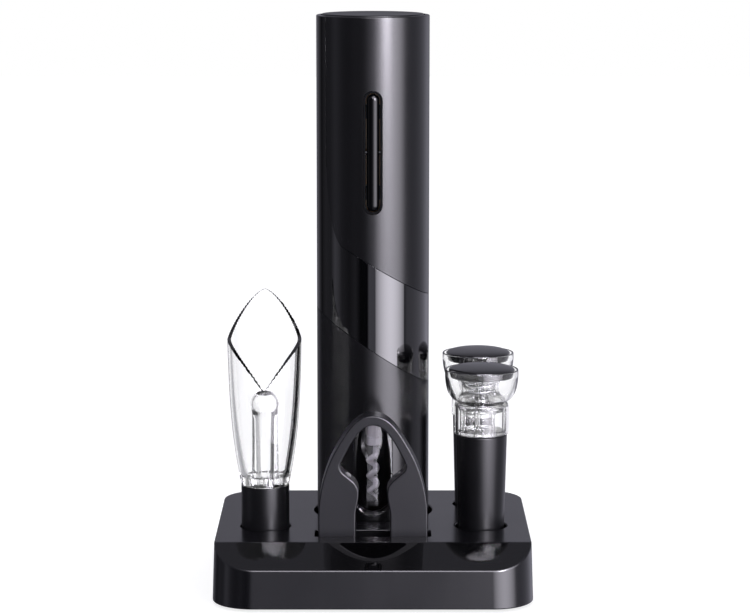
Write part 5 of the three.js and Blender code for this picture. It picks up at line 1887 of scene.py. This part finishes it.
# ---------------------------------------------------------------- studio
@dataclass
class Studio:
    """A white table and backdrop, soft lamps and the camera."""

    camera_place: tuple[float, float, float] = (0.000874, -1.1674, 0.2973)
    pitch: float = 8.766
    lens: float = 134.4
    floor_size: float = 6.0
    ceiling: float = 0.44
    loft: float = 0.16
    tint: Colour = (0.985, 0.97, 1.14)
    lamp_tint: Colour = (1.0, 0.965, 1.07)
    fill: Colour = (0.55, 0.55, 0.60)
    wall_stops: tuple[Pair, ...] = (
        (-180, 0.2), (-172, 0.14), (-154, 0.25), (-129, 0.03), (-113, 0.14), (-95, 0.16), (-84, 0.6),
        (-77, 0.5), (-67, 0.2), (-50, 0.1), (-36, 0.2), (-26, 0.02), (-11, 0.02), (-8, 0.8), (4, 0.8),
        (70, 0.4), (74, 0.6), (90, 0.62), (110, 0.75), (140, 0.95), (160, 0.38), (172, 0.28), (180, 0.24),
    )
    floor_stops: tuple[Pair, ...] = (
        (-180, 1.0), (-146, 1.0), (-134, 0.25), (-110, 0.12), (-90, 0.4), (-50, 1.0), (50, 1.0), (90, 0.4),
        (110, 0.12), (134, 0.25), (146, 1.0), (180, 1.0),
    )
    card_stops: tuple[Pair, ...] = (
        (-180, 1.0), (-168, 1.0), (-162, 0.36), (-120, 0.34), (-90, 0.6), (-50, 1.0), (50, 1.0), (90, 0.6),
        (120, 0.34), (162, 0.36), (168, 1.0), (180, 1.0),
    )

    def build_camera(self) -> None:
        """Places the camera."""
        clear_selection()
        bpy.ops.object.camera_add(location=self.camera_place, rotation=(radians(90 - self.pitch), 0, 0))
        camera = bpy.context.object
        camera.data.lens = self.lens
        camera.data.sensor_width = 36.0
        camera.data.clip_start = 0.01
        bpy.context.scene.camera = camera

    def build_floor(self) -> None:
        """Lays the white floor, which takes the object's shadow."""
        clear_selection()
        bpy.ops.mesh.primitive_plane_add(size=self.floor_size, location=(0, 0, -0.0002))
        floor = bpy.context.object
        floor.name = "floor"
        material = bpy.data.materials.new("white_table")
        material.use_nodes = True
        material.node_tree.nodes.clear()
        bench = Bench(material.node_tree)
        matt = bench.add("BsdfDiffuse", {"Color": (0.5, 0.5, 0.5, 1)})
        path = bench.add("LightPath")
        split = bench.add("SeparateXYZ", {"Vector": bench.add("TexCoord").outputs["Object"]})
        behind = self.ramp(bench, self.turn_share(bench, split), self.floor_stops)
        through = bench.math("MULTIPLY", path.outputs["Is Transmission Ray"], behind)
        seen = bench.math("MAXIMUM", path.outputs["Is Camera Ray"], through)
        glow = bench.add("Emission", {"Strength": bench.math("MULTIPLY", seen, 0.8)})
        both = bench.add("AddShader", {0: matt.outputs[0], 1: glow.outputs[0]})
        bench.add("OutputMaterial", {"Surface": both.outputs[0]})
        floor.data.materials.append(material)
        floor.visible_glossy = False
        floor.visible_shadow = False

    @staticmethod
    def turn_share(bench: Bench, split: Node) -> Socket:
        """Works out the turn round the object from the parts of a place or a direction.

        Args:
            bench: where it goes.
            split: the node that parts it into X, Y and Z.

        Returns:
            The turn, 0 and 1 straight behind the object and 0.5 at the camera.
        """
        turn = bench.math("ARCTAN2", split.outputs["X"], bench.math("MULTIPLY", split.outputs["Y"], -1.0))
        return bench.between(turn, 0.0, 1.0, -pi, pi)

    @staticmethod
    def ramp(bench: Bench, share: Socket, stops: Sequence[Pair]) -> Socket:
        """Adds a grey ramp over the whole turn round the object.

        Args:
            bench: where it goes.
            share: the turn, 0 and 1 straight behind the object and 0.5 at the camera.
            stops: pairs of degrees right of the camera and brightness, from -180 to 180.

        Returns:
            The ramp's colour.
        """
        node = bench.add("ValToRGB", {"Fac": share})
        elements = node.color_ramp.elements
        for count, (at, value) in enumerate(stops):
            spot = (at + HALF_TURN) / FULL_TURN
            if count in (0, len(stops) - 1):
                stop = elements[-1 if count else 0]
            else:
                stop = elements.new(spot)
            stop.position = spot
            stop.color = (value, value, value, 1)
        return node.outputs["Color"]

    def build_world(self) -> None:
        """White where it is seen, and plain greys of the studio where it is reflected."""
        world = bpy.data.worlds.new("studio")
        bpy.context.scene.world = world
        world.use_nodes = True
        world.node_tree.nodes.clear()
        bench = Bench(world.node_tree)
        way = bench.add("TexCoord").outputs["Generated"]
        split = bench.add("SeparateXYZ", {"Vector": way})
        share = self.turn_share(bench, split)
        walls = self.ramp(bench, share, self.wall_stops)
        up = bench.between(split.outputs["Z"], 0.0, 1.0, 0.0, 0.5)
        room = bench.blend(up, walls, (self.ceiling,) * 3)
        tinted = bench.blend(1.0, room, self.tint, "MULTIPLY")
        path = bench.add("LightPath")
        soft = bench.blend(path.outputs["Is Diffuse Ray"], tinted, self.fill)
        behind = self.ramp(bench, share, self.card_stops)
        above = bench.between(split.outputs["Z"], 0.0, 1.0, 0.3, 0.55)
        through = bench.blend(above, behind, (self.loft,) * 3)
        seen = bench.blend(path.outputs["Is Transmission Ray"], soft, through)
        colour = bench.blend(path.outputs["Is Camera Ray"], seen, (1.0, 1.0, 1.0))
        background = bench.add("Background", {"Color": colour})
        bench.add("OutputWorld", {"Surface": background.outputs[0]})

    def lamp(
        self, name: str, turn: float, low: float, high: float, width: float, distance: float, radiance: float,
        glossy: bool, diffuse: bool, fall: float = 0.0, drop: float = 0.0, tilt: float = 0.0,
    ) -> None:
        """Stands an upright soft lamp round the object.

        Args:
            name: the lamp's name.
            turn: degrees to the right of the camera, seen from the object.
            low: its lower edge, in metres.
            high: its upper edge.
            width: its width.
            distance: how far it stands from the object.
            radiance: how bright the middle of its face is.
            glossy: whether it shows in reflections.
            diffuse: whether it lights the surfaces.
            fall: the share of its light that is lost at its sides.
            drop: the share of its light that is lost at its lower edge.
            tilt: how far it leans down towards the object, in degrees.
        """
        angle = radians(turn)
        height = high - low
        clear_selection()
        bpy.ops.object.light_add(
            type="AREA", location=(distance * sin(angle), -distance * cos(angle), (low + high) / 2),
            rotation=(pi / 2 - radians(tilt), 0, angle),
        )
        lamp = bpy.context.object
        lamp.name = name
        lamp.data.shape = "RECTANGLE"
        lamp.data.size = width
        lamp.data.size_y = height
        lamp.data.energy = radiance * pi * width * height
        lamp.data.color = self.lamp_tint
        lamp.visible_camera = False
        lamp.visible_transmission = glossy
        lamp.visible_glossy = glossy
        lamp.visible_diffuse = diffuse
        if fall or drop:
            lamp.data.use_nodes = True
            lamp.data.node_tree.nodes.clear()
            bench = Bench(lamp.data.node_tree)
            split = bench.add("SeparateXYZ", {"Vector": bench.add("NewGeometry").outputs["Parametric"]})
            off = bench.math("ABSOLUTE", bench.math("MULTIPLY_ADD", split.outputs["X"], 2.0, -1.0))
            side = bench.math("MULTIPLY_ADD", bench.math("POWER", off, 1.7), -fall, 1.0)
            lower = bench.math("POWER", bench.math("SUBTRACT", 1.0, split.outputs["Y"]), 3.0)
            upright = bench.math("MULTIPLY_ADD", lower, -drop, 1.0)
            glow = bench.add("Emission", {"Strength": bench.math("MULTIPLY", side, upright)})
            bench.add("OutputLight", {"Surface": glow.outputs[0]})

    def build(self) -> None:
        """Builds the studio."""
        self.build_camera()
        self.build_floor()
        self.build_world()
        self.lamp(
            "key_card", 36, -0.50, 1.0, 1.49, 1.25, 14.0, glossy=True, diffuse=False, fall=0.8, drop=0.6,
        )
        self.lamp("key_core", 28, 0.2, 0.8, 0.4, 1.2, 70.0, glossy=True, diffuse=False, fall=0.6)
        self.lamp("top_card", 14, 0.6, 1.6, 1.1, 1.0, 13.0, glossy=True, diffuse=False, tilt=45)
        self.lamp("key_lamp", 35, 0.3, 1.3, 1.0, 1.4, 1.6, glossy=False, diffuse=True)
        bpy.context.scene.view_settings.view_transform = "Standard"


def main() -> None:
    """Builds and dresses the whole set."""
    logging.basicConfig(level=logging.INFO, format="%(name)s: %(message)s")
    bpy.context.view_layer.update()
    shop = PaintShop()
    Tray(shop).build()
    Opener(shop).build()
    FoilCutter(shop).build()
    Pourer(shop).build()
    for place in ("front", "rear"):
        Stopper(shop, place).build()
    shop.dress_rest()
    Studio().build()


if __name__ == "__main__":
    main()
